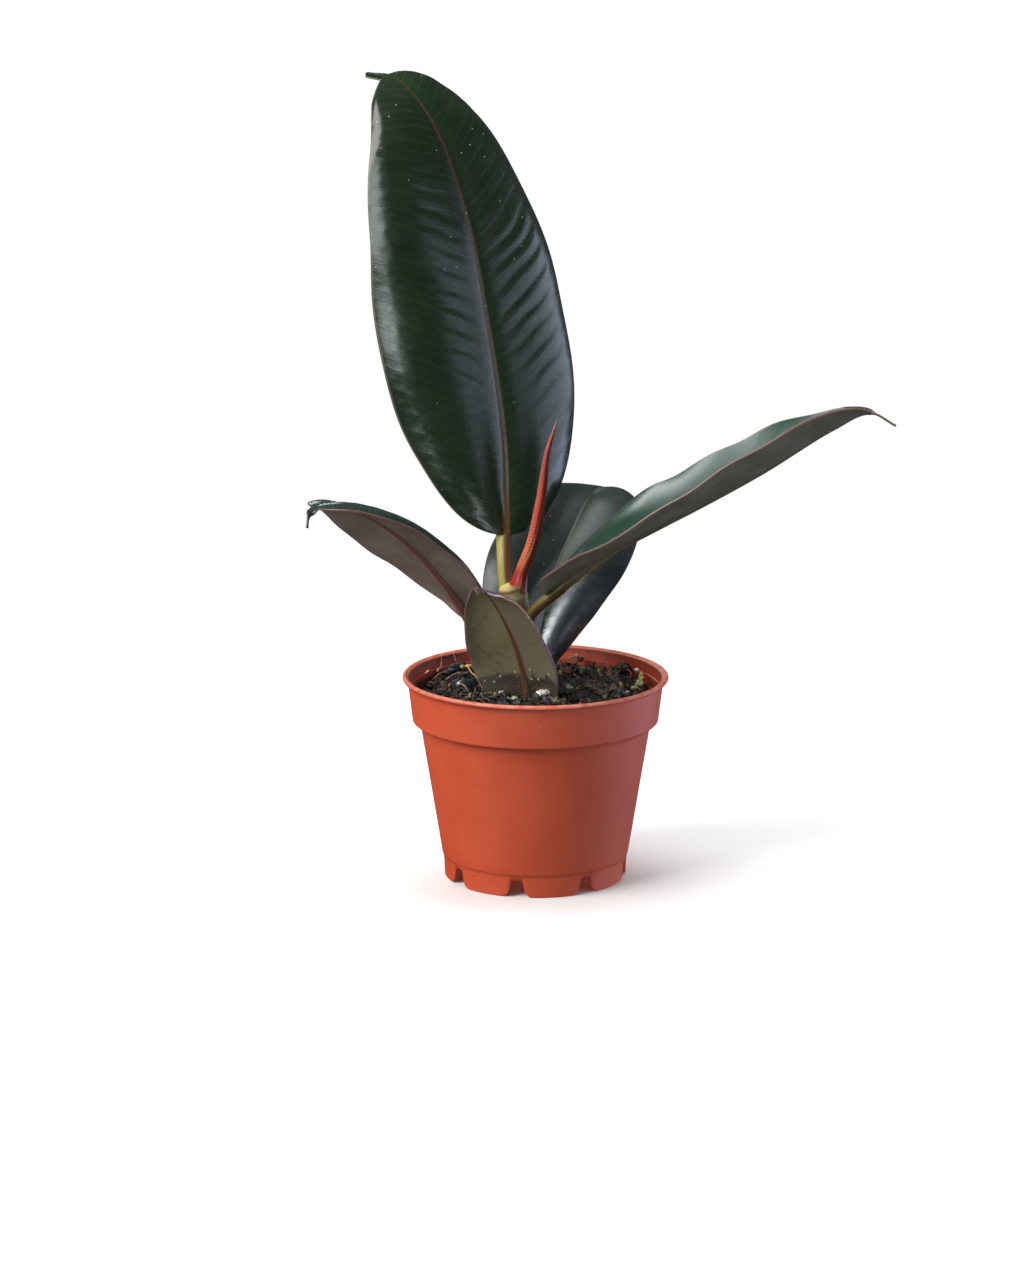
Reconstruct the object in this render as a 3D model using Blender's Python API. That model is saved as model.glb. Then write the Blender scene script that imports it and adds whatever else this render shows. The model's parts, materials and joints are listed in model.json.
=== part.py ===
"""A young rubber plant in a small terracotta-coloured nursery pot.

The pot's axis is the Z axis, its feet stand on z = 0 and +Z is up. The plant's face,
the side its largest leaf turns its upper surface to, looks along -Y.
The design values below are in millimetres and degrees; MM turns them into metres.
"""

import math
import random
from dataclasses import dataclass, replace

import bmesh
import bpy
import numpy as np
from mathutils import Matrix, Vector, noise

MM = 0.001
GAP = 0.3

# Pot: a thin moulded shell with a rolled lip, a deep collar and a ring of feet
POT_HEIGHT = 46.5
POT_WALL = 0.8
LIP_RADIUS = 30.0
COLLAR_TOP_RADIUS = 28.9
COLLAR_FOOT_RADIUS = 27.8
COLLAR_FOOT = 36.4
BODY_TOP_RADIUS = 26.1
BODY_TOP = 35.9
INNER_LEDGE = (36.4, 37.2)
BODY_FOOT_RADIUS = 21.2
LEDGE = 5.3
FOOT_RADIUS = 20.6
FLOOR_BOTTOM = 4.4
FLOOR_TOP = 5.6
HUB_RADIUS = 3.2
INNER_STEP = 2.8
LIP_HEIGHT = 1.0
LIP_ROLL = 0.55
LIP_WIDTH = 1.6
LIP_FILLET = 0.5
EDGE_ROUND = 0.2
POT_SEGMENTS = 48

# Eight notches part the foot ring into feet, and eight holes drain the floor
NOTCHES = 8
NOTCH_FIRST = -102.0
NOTCH_HALF_TOP = 1.5
NOTCH_HALF_FOOT = 3.0
NOTCH_HEIGHT = 3.9
DRAIN_RADIUS = 1.7
DRAIN_CIRCLE = 15.5

# Potting soil: a plug with a mounded, crumbly top
SOIL_EDGE = 41.0
SOIL_CROWN = 43.0
SOIL_BANK = 1.3
SOIL_BUMP = 0.7
SOIL_BUMP_SPACING = 4.5
SOIL_CLEARANCE = 0.45
SOIL_RINGS = 6
SOIL_SEGMENTS = 32
SOIL_FIRST_RING = 0.12
CRUMBS = 36
CRUMB_SIZE = (0.9, 2.1)
LUMP_ROUGHNESS = (0.8, 1.15)
LUMP_LIFT = 0.35
SEED = 7

# Woody pieces and pearls of perlite that lie where they are plainly seen: x, y, size
BARK = [(-20.5, 11.5, 3.2), (-17.5, 14.5, 2.7), (-22.5, 7.0, 2.6), (-14.5, 17.5, 2.3),
        (19.5, 9.5, 2.9), (22.5, 4.5, 2.6), (17.0, 15.0, 2.5), (10.5, 18.5, 2.6)]
PERLITE = [(1.6, -15.6, 1.3), (-8.3, -12.8, 0.8), (-7.0, -15.5, 0.8)]

# Stem: it leans to the left and ends in a pale collar
STEM_AXIS = [(1.0, 0.0, 24.0), (0.6, 0.0, 40.0), (-2.2, 0.0, 54.0), (-4.9, 0.0, 65.8)]
STEM_RADIUS = (2.7, 2.5, 2.4, 2.8)
STEM_NODES = (0.46, 0.68, 0.80, 0.93)
STEM_NODE_SWELL = 0.35
STEM_NODE_SPREAD = 0.02
STEM_RINGS = 30
STEM_SIDES = 12

# Sheath: the red pointed bud at the top of the stem
SHEATH_AXIS = [(-4.1, -0.9, 66.3), (-3.2, -1.2, 70.0), (-0.9, -1.6, 76.6), (1.0, -1.9, 86.0),
               (2.6, -2.2, 97.5), (4.6, -2.5, 104.5)]
SHEATH_RADIUS = (2.2, 1.5, 1.35, 1.15, 0.75, 0.25)
SHEATH_SHARES = (0.0, 0.1, 0.28, 0.52, 0.82, 1.0)
SHEATH_RINGS = 16
SHEATH_SIDES = 10

# Leaves share these
BLADE_THICKNESS = 0.7
SECTION_STEPS = 24
CURL_POWER = 1.3
EASE_REACH = 0.15
EASE_STEPS = 261
BASE_HALF_WIDTH = 1.3
DRIP_HALF_WIDTH = 1.2
TIP_HALF_WIDTH = 0.3
DRIP_ROWS = 3
RIDGE_SIDES = 8
RIDGE_RINGS = 14
RIDGE_END = 0.9
RIDGE_END_RADIUS = 0.45
RIDGE_COVER = 0.08
STALK_RINGS = 6
STALK_END = 0.85
HOLE_ROWS = 12
HOLE_COLUMNS = 3


@dataclass
class Leaf:
    """A leaf: its midrib as points in space, and the form of the blade around it."""

    petiole: list       # the stalk's axis, from the stem to the blade
    petiole_radius: float
    rib: list           # the midrib on the upper face, from the blade's base to its tip
    face: list          # the way the upper face looks, at the base, middle and tip
    half_width: float   # widest half, measured along the surface
    widest: float       # place of the widest point, as a share of the length
    drip: float         # the drip tip's share of the length
    crease: float       # slope up from the midrib, degrees
    curl_left: tuple    # fall of the left margin from base to tip, degrees
    curl_right: tuple   # fall of the right margin, which lies to the right of
    #                     someone who looks at the upper face with the tip up
    wave: float         # height of the margin's waves
    waves: float        # how many of them
    rows: int
    columns: int        # on each side of the midrib; divides SECTION_STEPS
    color: tuple
    joint: float = 0.0  # where the petiole meets the midrib, as a share of its length


LEAVES = {
    "leaf_upright": Leaf(
        petiole=[(-6.3, 1.6, 63.5), (-7.0, 3.4, 69.5)],
        petiole_radius=1.6,
        rib=[(-6.5, 4.5, 77.5), (-7.0, 9.0, 98.0), (-10.5, 12.5, 124.0), (-15.0, 15.0, 148.0),
             (-22.5, 17.5, 168.5), (-30.5, 21.0, 177.5), (-38.0, 27.0, 179.0)],
        face=[(0.45, -1.0, 0.2), (0.6, -1.0, 0.25), (0.9, -1.0, 0.55)],
        half_width=27.0, widest=0.43, drip=0.05, crease=8.0,
        curl_left=(43.0, 37.0), curl_right=(46.0, 54.0),
        wave=0.3, waves=4.0, rows=24, columns=6, color=(0.016, 0.028, 0.018, 1.0)),
    "leaf_right": Leaf(
        petiole=[(-2.6, -0.8, 56.5), (-1.2, -2.0, 60.5)],
        petiole_radius=1.3,
        rib=[(2.3, -2.2, 66.3), (5.4, -3.6, 68.8), (16.6, -8.6, 77.3), (25.8, -13.2, 83.1),
             (35.6, -16.4, 88.8), (48.6, -20.2, 96.8), (63.6, -24.2, 107.0), (71.2, -25.5, 110.6),
             (77.1, -26.9, 107.9)],
        face=[(-0.34, 0.02, 1.15), (-0.48, -0.08, 0.88), (-0.31, -0.01, 0.98), (-0.22, 0.07, 1.01),
              (-0.04, 0.24, 0.96)],
        half_width=20.1, widest=0.42, drip=0.055, crease=27.0,
        curl_left=(6.0, 3.0, -27.0, -9.0), curl_right=(-10.0, -12.0, -22.0, -16.0),
        wave=0.3, waves=5.0, rows=24, columns=6, color=(0.020, 0.032, 0.022, 1.0), joint=0.045),
    "leaf_left": Leaf(
        petiole=[(-2.2, 0.0, 51.5), (-8.0, 2.0, 53.5)],
        petiole_radius=1.2,
        rib=[(-14.0, 4.5, 58.0), (-16.5, 2.0, 62.5), (-24.0, -5.0, 73.5), (-31.0, -11.0, 81.5),
             (-40.5, -18.0, 88.5), (-46.0, -22.5, 90.0), (-48.7, -25.2, 88.6), (-49.3, -26.7, 85.4)],
        face=[(0.5, 0.7, 0.8), (0.4, 0.8, 0.8), (0.45, 0.25, 0.8)],
        half_width=14.8, widest=0.45, drip=0.085, crease=22.0,
        curl_left=(36.0, 62.0, 25.0), curl_right=(-6.0, 15.0, 38.0),
        wave=0.2, waves=4.0, rows=20, columns=6, color=(0.085, 0.045, 0.036, 1.0)),
    "leaf_back": Leaf(
        petiole=[(0.8, 0.6, 39.5), (0.2, 3.0, 41.5)],
        petiole_radius=1.2,
        rib=[(-0.5, 4.0, 46.0), (2.5, 8.5, 61.0), (7.0, 13.0, 74.5), (13.0, 18.5, 85.5),
             (16.5, 25.0, 85.0), (20.0, 31.0, 80.5)],
        face=[(0.5, -1.0, 0.25), (-0.05, -0.5, 0.35), (-0.25, -0.25, 1.0)],
        half_width=17.3, widest=0.49, drip=0.08, crease=7.0,
        curl_left=(49.0, 42.0, 10.0), curl_right=(66.0, 68.0, 42.0),
        wave=0.2, waves=4.0, rows=24, columns=6, color=(0.022, 0.030, 0.028, 1.0)),
    "leaf_front": Leaf(
        petiole=[(0.9, -0.6, 35.0), (0.4, -3.0, 35.5)],
        petiole_radius=1.1,
        rib=[(-0.8, -5.0, 38.2), (-3.2, -8.0, 51.6), (-6.1, -10.5, 60.1), (-10.2, -13.0, 67.7),
             (-11.7, -15.0, 69.3), (-12.9, -19.0, 69.5)],
        face=[(0.36, 0.91, 0.33), (0.56, 0.98, 0.17), (0.68, 0.92, 0.35)],
        half_width=12.1, widest=0.44, drip=0.1, crease=8.0,
        curl_left=(44.0, 55.0, 30.0), curl_right=(44.0, 51.0, 56.0),
        wave=0.15, waves=3.0, rows=17, columns=6, color=(0.070, 0.062, 0.036, 1.0)),
}


# Scene and material helpers

def clear_scene():
    for item in list(bpy.data.objects):
        bpy.data.objects.remove(item)


def material(name, color, roughness, metallic=0.0):
    made = bpy.data.materials.new(name)
    made.use_nodes = True
    shader = made.node_tree.nodes["Principled BSDF"]
    shader.inputs["Base Color"].default_value = color
    shader.inputs["Roughness"].default_value = roughness
    shader.inputs["Metallic"].default_value = metallic
    return made


def solid(name, points, faces, finish=None):
    """An object from points in millimetres and faces that look outwards."""
    mesh = bpy.data.meshes.new(name)
    mesh.from_pydata([tuple(float(v) * MM for v in p) for p in points], [], faces)
    mesh.validate()
    if finish:
        mesh.materials.append(finish)
    made = bpy.data.objects.new(name, mesh)
    bpy.context.scene.collection.objects.link(made)
    return made


def smooth(item, angle=40.0):
    item.data.shade_smooth()
    item.data.set_sharp_from_angle(angle=math.radians(angle))


# Boolean helpers

def apply_boolean(item, operation, tools, solver="EXACT"):
    """Cuts or joins a list of tool objects and removes them."""
    group = bpy.data.collections.new("tools")
    bpy.context.scene.collection.children.link(group)
    for tool in tools:
        group.objects.link(tool)
        bpy.context.scene.collection.objects.unlink(tool)
    change = item.modifiers.new("boolean", "BOOLEAN")
    change.operation = operation
    change.operand_type = "COLLECTION"
    change.collection = group
    change.solver = solver
    graph = bpy.context.evaluated_depsgraph_get()
    result = bpy.data.meshes.new_from_object(item.evaluated_get(graph))
    item.modifiers.clear()
    item.data = result
    for tool in tools:
        bpy.data.objects.remove(tool)
    bpy.data.collections.remove(group)


# Curves and tubes

def smooth_curve(points):
    """Finely spaced points on the smooth curve through the given ones."""
    points = np.array(points, float)
    chord = np.linalg.norm(np.diff(points, axis=0), axis=1)
    knots = np.concatenate([[0.0], np.cumsum(np.sqrt(chord))])
    slope = np.gradient(points, knots, axis=0)
    t = np.linspace(0.0, knots[-1], 400)
    i = np.clip(np.searchsorted(knots, t, side="right") - 1, 0, len(chord) - 1)
    step = (knots[i + 1] - knots[i])[:, None]
    u = (t - knots[i])[:, None] / step
    start = (1 + 2 * u) * (1 - u) ** 2 * points[i] + u * (1 - u) ** 2 * step * slope[i]
    end = u ** 2 * (3 - 2 * u) * points[i + 1] - u ** 2 * (1 - u) * step * slope[i + 1]
    return start + end


def along_curve(curve, shares):
    """Points at the given shares of a curve's length."""
    run = np.concatenate([[0.0], np.cumsum(np.linalg.norm(np.diff(curve, axis=0), axis=1))])
    at = np.asarray(shares) * run[-1]
    return np.stack([np.interp(at, run, curve[:, k]) for k in range(3)], axis=-1)


def eased(shares, stations):
    """Values between evenly spaced stations, with the corners rounded off."""
    fine = np.linspace(-EASE_REACH, 1 + EASE_REACH, EASE_STEPS)
    values = np.interp(fine, np.linspace(0, 1, len(stations)), stations)
    window = np.hanning(round(EASE_REACH * EASE_STEPS))
    return np.interp(shares, fine, np.convolve(values, window / window.sum(), mode="same"))


def unit(vectors):
    return vectors / np.linalg.norm(vectors, axis=-1, keepdims=True)


def directions(points):
    return unit(np.gradient(points, axis=0))


def grid_faces(rows, columns, wrap=False):
    """Triangles of a grid of points, all split along the same diagonal."""
    faces = []
    for i in range(rows - 1):
        for j in range(columns if wrap else columns - 1):
            right = (j + 1) % columns
            a, b = i * columns + j, i * columns + right
            c, d = a + columns, b + columns
            faces += [(a, b, d), (a, d, c)]
    return faces


def tube(name, axis, radii, sides, finish=None):
    """A round tube of changing radius with flat ends."""
    axis = np.array(axis, float)
    heading = directions(axis)
    side = np.cross(heading, (0.0, 1.0, 0.2))
    side = unit(side)
    other = np.cross(heading, side)
    turn = np.linspace(0, 2 * math.pi, sides, endpoint=False)
    ring = np.cos(turn)[None, :, None] * side[:, None] + np.sin(turn)[None, :, None] * other[:, None]
    points = (axis[:, None] + ring * np.asarray(radii)[:, None, None]).reshape(-1, 3)
    faces = grid_faces(len(axis), sides, wrap=True)
    last = (len(axis) - 1) * sides
    faces += [(0, j + 1, j) for j in range(1, sides - 1)]
    faces += [(last, last + j, last + j + 1) for j in range(1, sides - 1)]
    return solid(name, points, faces, finish)


def turned(name, profile, segments, finish=None):
    """A body of revolution; the profile runs from the axis, round the outside, to the axis."""
    turn = np.linspace(0, 2 * math.pi, segments, endpoint=False)
    points = [(0.0, 0.0, profile[0][1])]
    for radius, height in profile[1:-1]:
        points += [(radius * math.cos(a), radius * math.sin(a), height) for a in turn]
    points.append((0.0, 0.0, profile[-1][1]))
    rings = len(profile) - 2
    faces = [tuple(k + 1 for k in face) for face in grid_faces(rings, segments, wrap=True)]
    last = 1 + (rings - 1) * segments
    for j in range(segments):
        after = (j + 1) % segments
        faces.append((0, 1 + after, 1 + j))
        faces.append((len(points) - 1, last + j, last + after))
    return solid(name, points, faces, finish)


# Pot

def pot_profile():
    """Underside, foot ring, ledge, body, collar and lip, then down the inside to the floor."""
    wall, bevel, roll = POT_WALL, EDGE_ROUND, LIP_ROLL
    lip_foot = POT_HEIGHT - LIP_HEIGHT
    inner_step = POT_HEIGHT - INNER_STEP
    return [
        (0.0, 0.0), (HUB_RADIUS, 0.0), (HUB_RADIUS, FLOOR_BOTTOM),
        (FOOT_RADIUS - 1.4 * wall, FLOOR_BOTTOM), (FOOT_RADIUS - 1.5 * wall, 0.0),
        (FOOT_RADIUS, 0.0), (FOOT_RADIUS + bevel, LEDGE - wall), (BODY_FOOT_RADIUS - bevel, LEDGE),
        (BODY_FOOT_RADIUS, LEDGE + bevel), (BODY_TOP_RADIUS, BODY_TOP),
        (COLLAR_FOOT_RADIUS - bevel, COLLAR_FOOT - bevel), (COLLAR_FOOT_RADIUS, COLLAR_FOOT + bevel),
        (COLLAR_TOP_RADIUS - bevel, lip_foot - LIP_FILLET), (COLLAR_TOP_RADIUS + bevel, lip_foot - bevel),
        (LIP_RADIUS - bevel, lip_foot), (LIP_RADIUS, POT_HEIGHT - roll),
        (LIP_RADIUS - bevel, POT_HEIGHT - bevel), (LIP_RADIUS - roll, POT_HEIGHT),
        (LIP_RADIUS - LIP_WIDTH, POT_HEIGHT - 2 * bevel), (COLLAR_TOP_RADIUS - wall, inner_step),
        (COLLAR_TOP_RADIUS - wall - bevel, inner_step - bevel),
        (COLLAR_FOOT_RADIUS - wall, INNER_LEDGE[1]),
        (BODY_TOP_RADIUS - wall, INNER_LEDGE[0]), (BODY_FOOT_RADIUS - wall, FLOOR_TOP),
        (0.0, FLOOR_TOP),
    ]


def notch_cutter(angle):
    """A wedge through the foot ring, with flared sides that round the feet's corners."""
    foot, top, height = NOTCH_HALF_FOOT, NOTCH_HALF_TOP, NOTCH_HEIGHT
    outline = [(-foot - 0.8, -0.5), (-foot, 0.3), (-top - 0.4, 0.4 * height),
               (-top, 0.85 * height), (-0.6 * top, height)]
    outline += [(-x, z) for x, z in reversed(outline)]
    count = len(outline)
    near, far = FOOT_RADIUS - 4.0, FOOT_RADIUS + 3.0
    points = [(near, x, z) for x, z in outline] + [(far, x, z) for x, z in outline]
    faces = [tuple(range(count)), tuple(reversed(range(count, 2 * count)))]
    for j in range(count):
        after = (j + 1) % count
        faces.append((j, j + count, after + count, after))
    cutter = solid("notch", points, faces)
    cutter.data.transform(Matrix.Rotation(math.radians(angle), 4, "Z"))
    return cutter


def drain_cutter(angle):
    x = DRAIN_CIRCLE * math.cos(math.radians(angle))
    y = DRAIN_CIRCLE * math.sin(math.radians(angle))
    return tube("drain", [(x, y, FLOOR_BOTTOM - 1), (x, y, FLOOR_TOP + 1)], (DRAIN_RADIUS,) * 2, 8)


def make_pot():
    plastic = material("terracotta_plastic", (0.47, 0.08, 0.03, 1.0), 0.42)
    pot = turned("pot", pot_profile(), POT_SEGMENTS, plastic)
    angles = [NOTCH_FIRST + 360.0 / NOTCHES * k for k in range(NOTCHES)]
    cutters = [notch_cutter(a) for a in angles] + [drain_cutter(a) for a in angles]
    apply_boolean(pot, "DIFFERENCE", cutters)
    smooth(pot, 30.0)
    return pot


# Soil

def inner_radius(height):
    """Radius of the pot's inner wall at a height below the collar's inner step."""
    heights = (FLOOR_TOP, *INNER_LEDGE, POT_HEIGHT - INNER_STEP)
    radii = (BODY_FOOT_RADIUS, BODY_TOP_RADIUS, COLLAR_FOOT_RADIUS, COLLAR_TOP_RADIUS - EDGE_ROUND)
    return float(np.interp(height, heights, radii)) - POT_WALL


def soil_height(x, y):
    """Height of the soil's surface: mounded to the middle, uneven, banked at the back."""
    edge = inner_radius(SOIL_EDGE)
    share = min(1.0, math.hypot(x, y) / edge)
    bank = SOIL_BANK * max(0.0, y / edge) * share
    place = Vector((x, y, SEED)) / SOIL_BUMP_SPACING
    bump = noise.noise(place) + 0.5 * noise.noise(place * 2.3)
    fade = 1.0 - share ** 6
    return SOIL_CROWN + (SOIL_EDGE - SOIL_CROWN) * share ** 2 + bank + SOIL_BUMP * bump * fade


def soil_plug(finish):
    """The plug's wall follows the pot, and its top follows soil_height."""
    wall = (FLOOR_TOP, *INNER_LEDGE)
    shares = np.linspace(1.0, SOIL_FIRST_RING, SOIL_RINGS)
    turn = np.linspace(0, 2 * math.pi, SOIL_SEGMENTS, endpoint=False)
    points = [(0.0, 0.0, FLOOR_TOP + GAP)]
    for height in wall:
        radius = inner_radius(height) - SOIL_CLEARANCE
        points += [(radius * math.cos(a), radius * math.sin(a), height + GAP) for a in turn]
    rim = inner_radius(SOIL_EDGE) - SOIL_CLEARANCE
    for share in shares:
        for a in turn:
            x, y = rim * share * math.cos(a), rim * share * math.sin(a)
            points.append((x, y, soil_height(x, y)))
    points.append((0.0, 0.0, soil_height(0.0, 0.0)))
    rings = len(wall) + len(shares)
    faces = [tuple(k + 1 for k in face) for face in grid_faces(rings, SOIL_SEGMENTS, wrap=True)]
    last = 1 + (rings - 1) * SOIL_SEGMENTS
    for j in range(SOIL_SEGMENTS):
        after = (j + 1) % SOIL_SEGMENTS
        faces.append((0, 1 + after, 1 + j))
        faces.append((len(points) - 1, last + j, last + after))
    return solid("soil", points, faces, finish)


def lump(x, y, size, squash, detail, draw):
    """A rough lump, bedded in the soil by its lower third."""
    mesh = bmesh.new()
    bmesh.ops.create_icosphere(mesh, subdivisions=detail, radius=size)
    turn = Matrix.Rotation(draw.uniform(0, math.pi), 3, "Z") @ Matrix.Rotation(draw.uniform(0, 1.2), 3, "X")
    height = soil_height(x, y) + size * squash * LUMP_LIFT
    points = []
    for corner in mesh.verts:
        place = turn @ (corner.co * draw.uniform(*LUMP_ROUGHNESS))
        points.append((x + place.x, y + place.y, height + place.z * squash))
    faces = [tuple(v.index for v in face.verts) for face in mesh.faces]
    mesh.free()
    return solid("lump", points, faces)


def crumb_places(draw):
    """Random places and sizes on the soil, clear of the pot's wall."""
    places = []
    for _ in range(CRUMBS):
        size = draw.uniform(*CRUMB_SIZE)
        angle = draw.uniform(0, 2 * math.pi)
        room = inner_radius(SOIL_EDGE) - size * max(LUMP_ROUGHNESS) - 1.0
        far = math.sqrt(draw.uniform(0.08, 1.0)) * room
        places.append((far * math.cos(angle), far * math.sin(angle), size))
    return places


def keep_largest_body(item):
    """Drops the loose scraps that cutting can leave."""
    mesh = bmesh.new()
    mesh.from_mesh(item.data)
    bodies, seen = [], set()
    for seed in mesh.verts:
        if seed in seen:
            continue
        body, front = {seed}, [seed]
        while front:
            corner = front.pop()
            near = {edge.other_vert(corner) for edge in corner.link_edges} - body
            body |= near
            front += near
        seen |= body
        bodies.append(body)
    largest = max(bodies, key=len)
    bmesh.ops.delete(mesh, geom=[v for v in mesh.verts if v not in largest], context="VERTS")
    mesh.to_mesh(item.data)
    mesh.free()


def make_soil(stem_hole, leaf_holes):
    peat = material("potting_soil", (0.020, 0.013, 0.010, 1.0), 0.95)
    draw = random.Random(SEED)
    soil = soil_plug(peat)
    lumps = [lump(x, y, size, 0.75, 1, draw) for x, y, size in crumb_places(draw)]
    lumps += [lump(x, y, size, 0.85, 1, draw) for x, y, size in BARK]
    lumps += [lump(x, y, size, 1.0, 2, draw) for x, y, size in PERLITE]
    apply_boolean(soil, "UNION", lumps)
    apply_boolean(soil, "DIFFERENCE", [stem_hole] + leaf_holes)
    keep_largest_body(soil)
    smooth(soil, 35.0)
    return soil


# Stem and sheath

def stem_tube(name, grow=0.0, finish=None):
    """The stem, or its outline grown all round to cut a clearance."""
    shares = np.linspace(0, 1, STEM_RINGS)
    radius = np.interp(shares, np.linspace(0, 1, len(STEM_RADIUS)), STEM_RADIUS)
    for node in STEM_NODES:
        radius = radius + STEM_NODE_SWELL * np.exp(-((shares - node) / STEM_NODE_SPREAD) ** 2)
    axis = along_curve(smooth_curve(STEM_AXIS), shares)
    heading = directions(axis)
    axis[0] -= heading[0] * grow
    axis[-1] += heading[-1] * grow
    return tube(name, axis, radius + grow, STEM_SIDES, finish)


def make_stem():
    bark = material("stem_green", (0.12, 0.11, 0.035, 1.0), 0.5)
    stem = stem_tube("stem", 0.0, bark)
    smooth(stem)
    return stem


def make_sheath():
    red = material("sheath_red", (0.30, 0.035, 0.018, 1.0), 0.42)
    shares = np.linspace(0, 1, SHEATH_RINGS)
    curve = smooth_curve(SHEATH_AXIS)
    radius = np.interp(shares, SHEATH_SHARES, SHEATH_RADIUS)
    sheath = tube("sheath", along_curve(curve, shares), radius, SHEATH_SIDES, red)
    apply_boolean(sheath, "DIFFERENCE", [stem_tube("clearance", GAP)])
    smooth(sheath)
    return sheath


# Leaves

def blade_shares(leaf):
    """Rows along the midrib, close together where the outline turns, then the drip tip."""
    end = 1.0 - leaf.drip
    body = end * (1 - np.cos(np.linspace(0, math.pi, leaf.rows))) / 2
    return np.concatenate([body, np.linspace(end, 1.0, DRIP_ROWS + 1)[1:]])


def half_widths(leaf, shares):
    """Two half ellipses that meet at the widest point, and a slim drip tip."""
    end = 1.0 - leaf.drip
    top = leaf.widest * end
    off = np.where(shares < top, (top - shares) / top, np.clip((shares - top) / (end - top), 0, 1))
    body = leaf.half_width * np.sqrt(np.clip(1 - off ** 2, 0, 1))
    slim = np.interp(shares, (0.0, end, 1.0), (BASE_HALF_WIDTH, DRIP_HALF_WIDTH, TIP_HALF_WIDTH))
    return np.hypot(body, slim)


def rib_frame(leaf, shares):
    """Points of the midrib, with its heading, the face's normal and the way to the right."""
    curve = smooth_curve(leaf.rib)
    ahead = along_curve(curve, np.clip(shares + 0.004, 0, 1))
    behind = along_curve(curve, np.clip(shares - 0.004, 0, 1))
    heading = unit(ahead - behind)
    look = np.stack([eased(shares, [f[k] for f in leaf.face]) for k in range(3)], axis=-1)
    normal = unit(look - np.sum(look * heading, axis=-1, keepdims=True) * heading)
    return along_curve(curve, shares), heading, normal, np.cross(heading, normal)


def side_section(leaf, shares, widths, curl):
    """Distances out and up from the midrib to one margin, and the slope at each point."""
    mid = (np.arange(SECTION_STEPS) + 0.5) / SECTION_STEPS
    edge = np.linspace(0, 1, SECTION_STEPS + 1)
    room = np.clip(widths / (0.5 * leaf.half_width), 0, 1)
    rise = room * np.radians(leaf.crease) * (1 - 0.5 * shares)
    fall = room * np.radians(eased(shares, curl))
    slope = rise[:, None] - (rise + fall)[:, None] * mid[None, :] ** CURL_POWER
    step = (widths / SECTION_STEPS)[:, None]
    start = np.zeros((len(shares), 1))
    out = np.concatenate([start, np.cumsum(np.cos(slope) * step, axis=1)], axis=1)
    up = np.concatenate([start, np.cumsum(np.sin(slope) * step, axis=1)], axis=1)
    return out, up, rise[:, None] - (rise + fall)[:, None] * edge[None, :] ** CURL_POWER


def blade_grid(leaf, grow=0.0):
    """The upper face as a grid of points, rows along the midrib and columns left to right.

    The second grid holds the upper face's normals.
    """
    shares = blade_shares(leaf)
    widths = half_widths(leaf, shares) + grow
    middle, heading, normal, right = rib_frame(leaf, shares)
    middle[0] -= heading[0] * grow
    pick = SECTION_STEPS // leaf.columns
    across = np.linspace(0, 1, leaf.columns + 1)
    halves, tilts = [], []
    for sign, curl in ((-1, leaf.curl_left), (1, leaf.curl_right)):
        out, up, slope = (values[:, ::pick] for values in side_section(leaf, shares, widths, curl))
        swell = np.sin(2 * math.pi * leaf.waves * shares + sign)[:, None] * across ** 2 * leaf.wave
        up = up + swell * np.clip(widths / leaf.half_width, 0, 1)[:, None]
        outward = sign * right[:, None]
        halves.append(middle[:, None] + out[:, :, None] * outward + up[:, :, None] * normal[:, None])
        tilts.append(np.cos(slope)[:, :, None] * normal[:, None] - np.sin(slope)[:, :, None] * outward)
    tilts[0][:, 0] = normal
    tilts[1][:, 0] = normal
    return tuple(np.concatenate([pair[0][:, :0:-1], pair[1]], axis=1) for pair in (halves, tilts))


def blade(name, leaf, grow=0.0, finish=None):
    """The blade as a closed sheet, split into triangles alike on both faces."""
    grid, normal = blade_grid(leaf, grow)
    rows, columns = grid.shape[:2]
    top = grid + normal * grow
    under = grid - normal * (BLADE_THICKNESS + grow)
    points = np.concatenate([top.reshape(-1, 3), under.reshape(-1, 3)])
    count = rows * columns
    faces = grid_faces(rows, columns)
    faces += [(a + count, c + count, b + count) for a, b, c in faces]
    edge = list(range(columns))
    edge += [i * columns + columns - 1 for i in range(1, rows)]
    edge += [(rows - 1) * columns + j for j in reversed(range(columns - 1))]
    edge += [i * columns for i in reversed(range(1, rows - 1))]
    for here, after in zip(edge, edge[1:] + edge[:1]):
        faces += [(here, here + count, after + count), (here, after + count, after)]
    return solid(name, points, faces, finish)


def stalk(name, leaf, grow=0.0, finish=None):
    """The petiole, which runs on below the blade as its midrib ridge."""
    shares = np.linspace(leaf.joint, RIDGE_END, RIDGE_RINGS)
    thick = np.interp(shares, (leaf.joint, RIDGE_END), (leaf.petiole_radius, RIDGE_END_RADIUS))
    middle, _, normal, _ = rib_frame(leaf, shares)
    ridge = middle - normal * (thick + RIDGE_COVER)[:, None]
    whole = smooth_curve(leaf.petiole + [tuple(ridge[0])])
    start = along_curve(whole, np.linspace(0, STALK_END, STALK_RINGS))
    axis = np.concatenate([start, ridge])
    radii = np.concatenate([np.full(len(start), leaf.petiole_radius), thick]) + grow
    return tube(name, axis, radii, RIDGE_SIDES, finish)


def make_leaf(name, leaf):
    finish = material(name, leaf.color, 0.35)
    made = blade(name, leaf, 0.0, finish)
    apply_boolean(made, "UNION", [stalk("stalk", leaf, 0.0, finish)])
    apply_boolean(made, "DIFFERENCE", [stem_tube("clearance", GAP)])
    smooth(made)
    return made


def leaf_hole(leaf):
    """What a leaf that stands in the soil takes out of it, with a small clearance."""
    leaf = replace(leaf, rows=HOLE_ROWS, columns=HOLE_COLUMNS)
    hole = blade("hole", leaf, GAP)
    apply_boolean(hole, "UNION", [stalk("stalk", leaf, GAP)])
    return hole


# The whole plant

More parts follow.
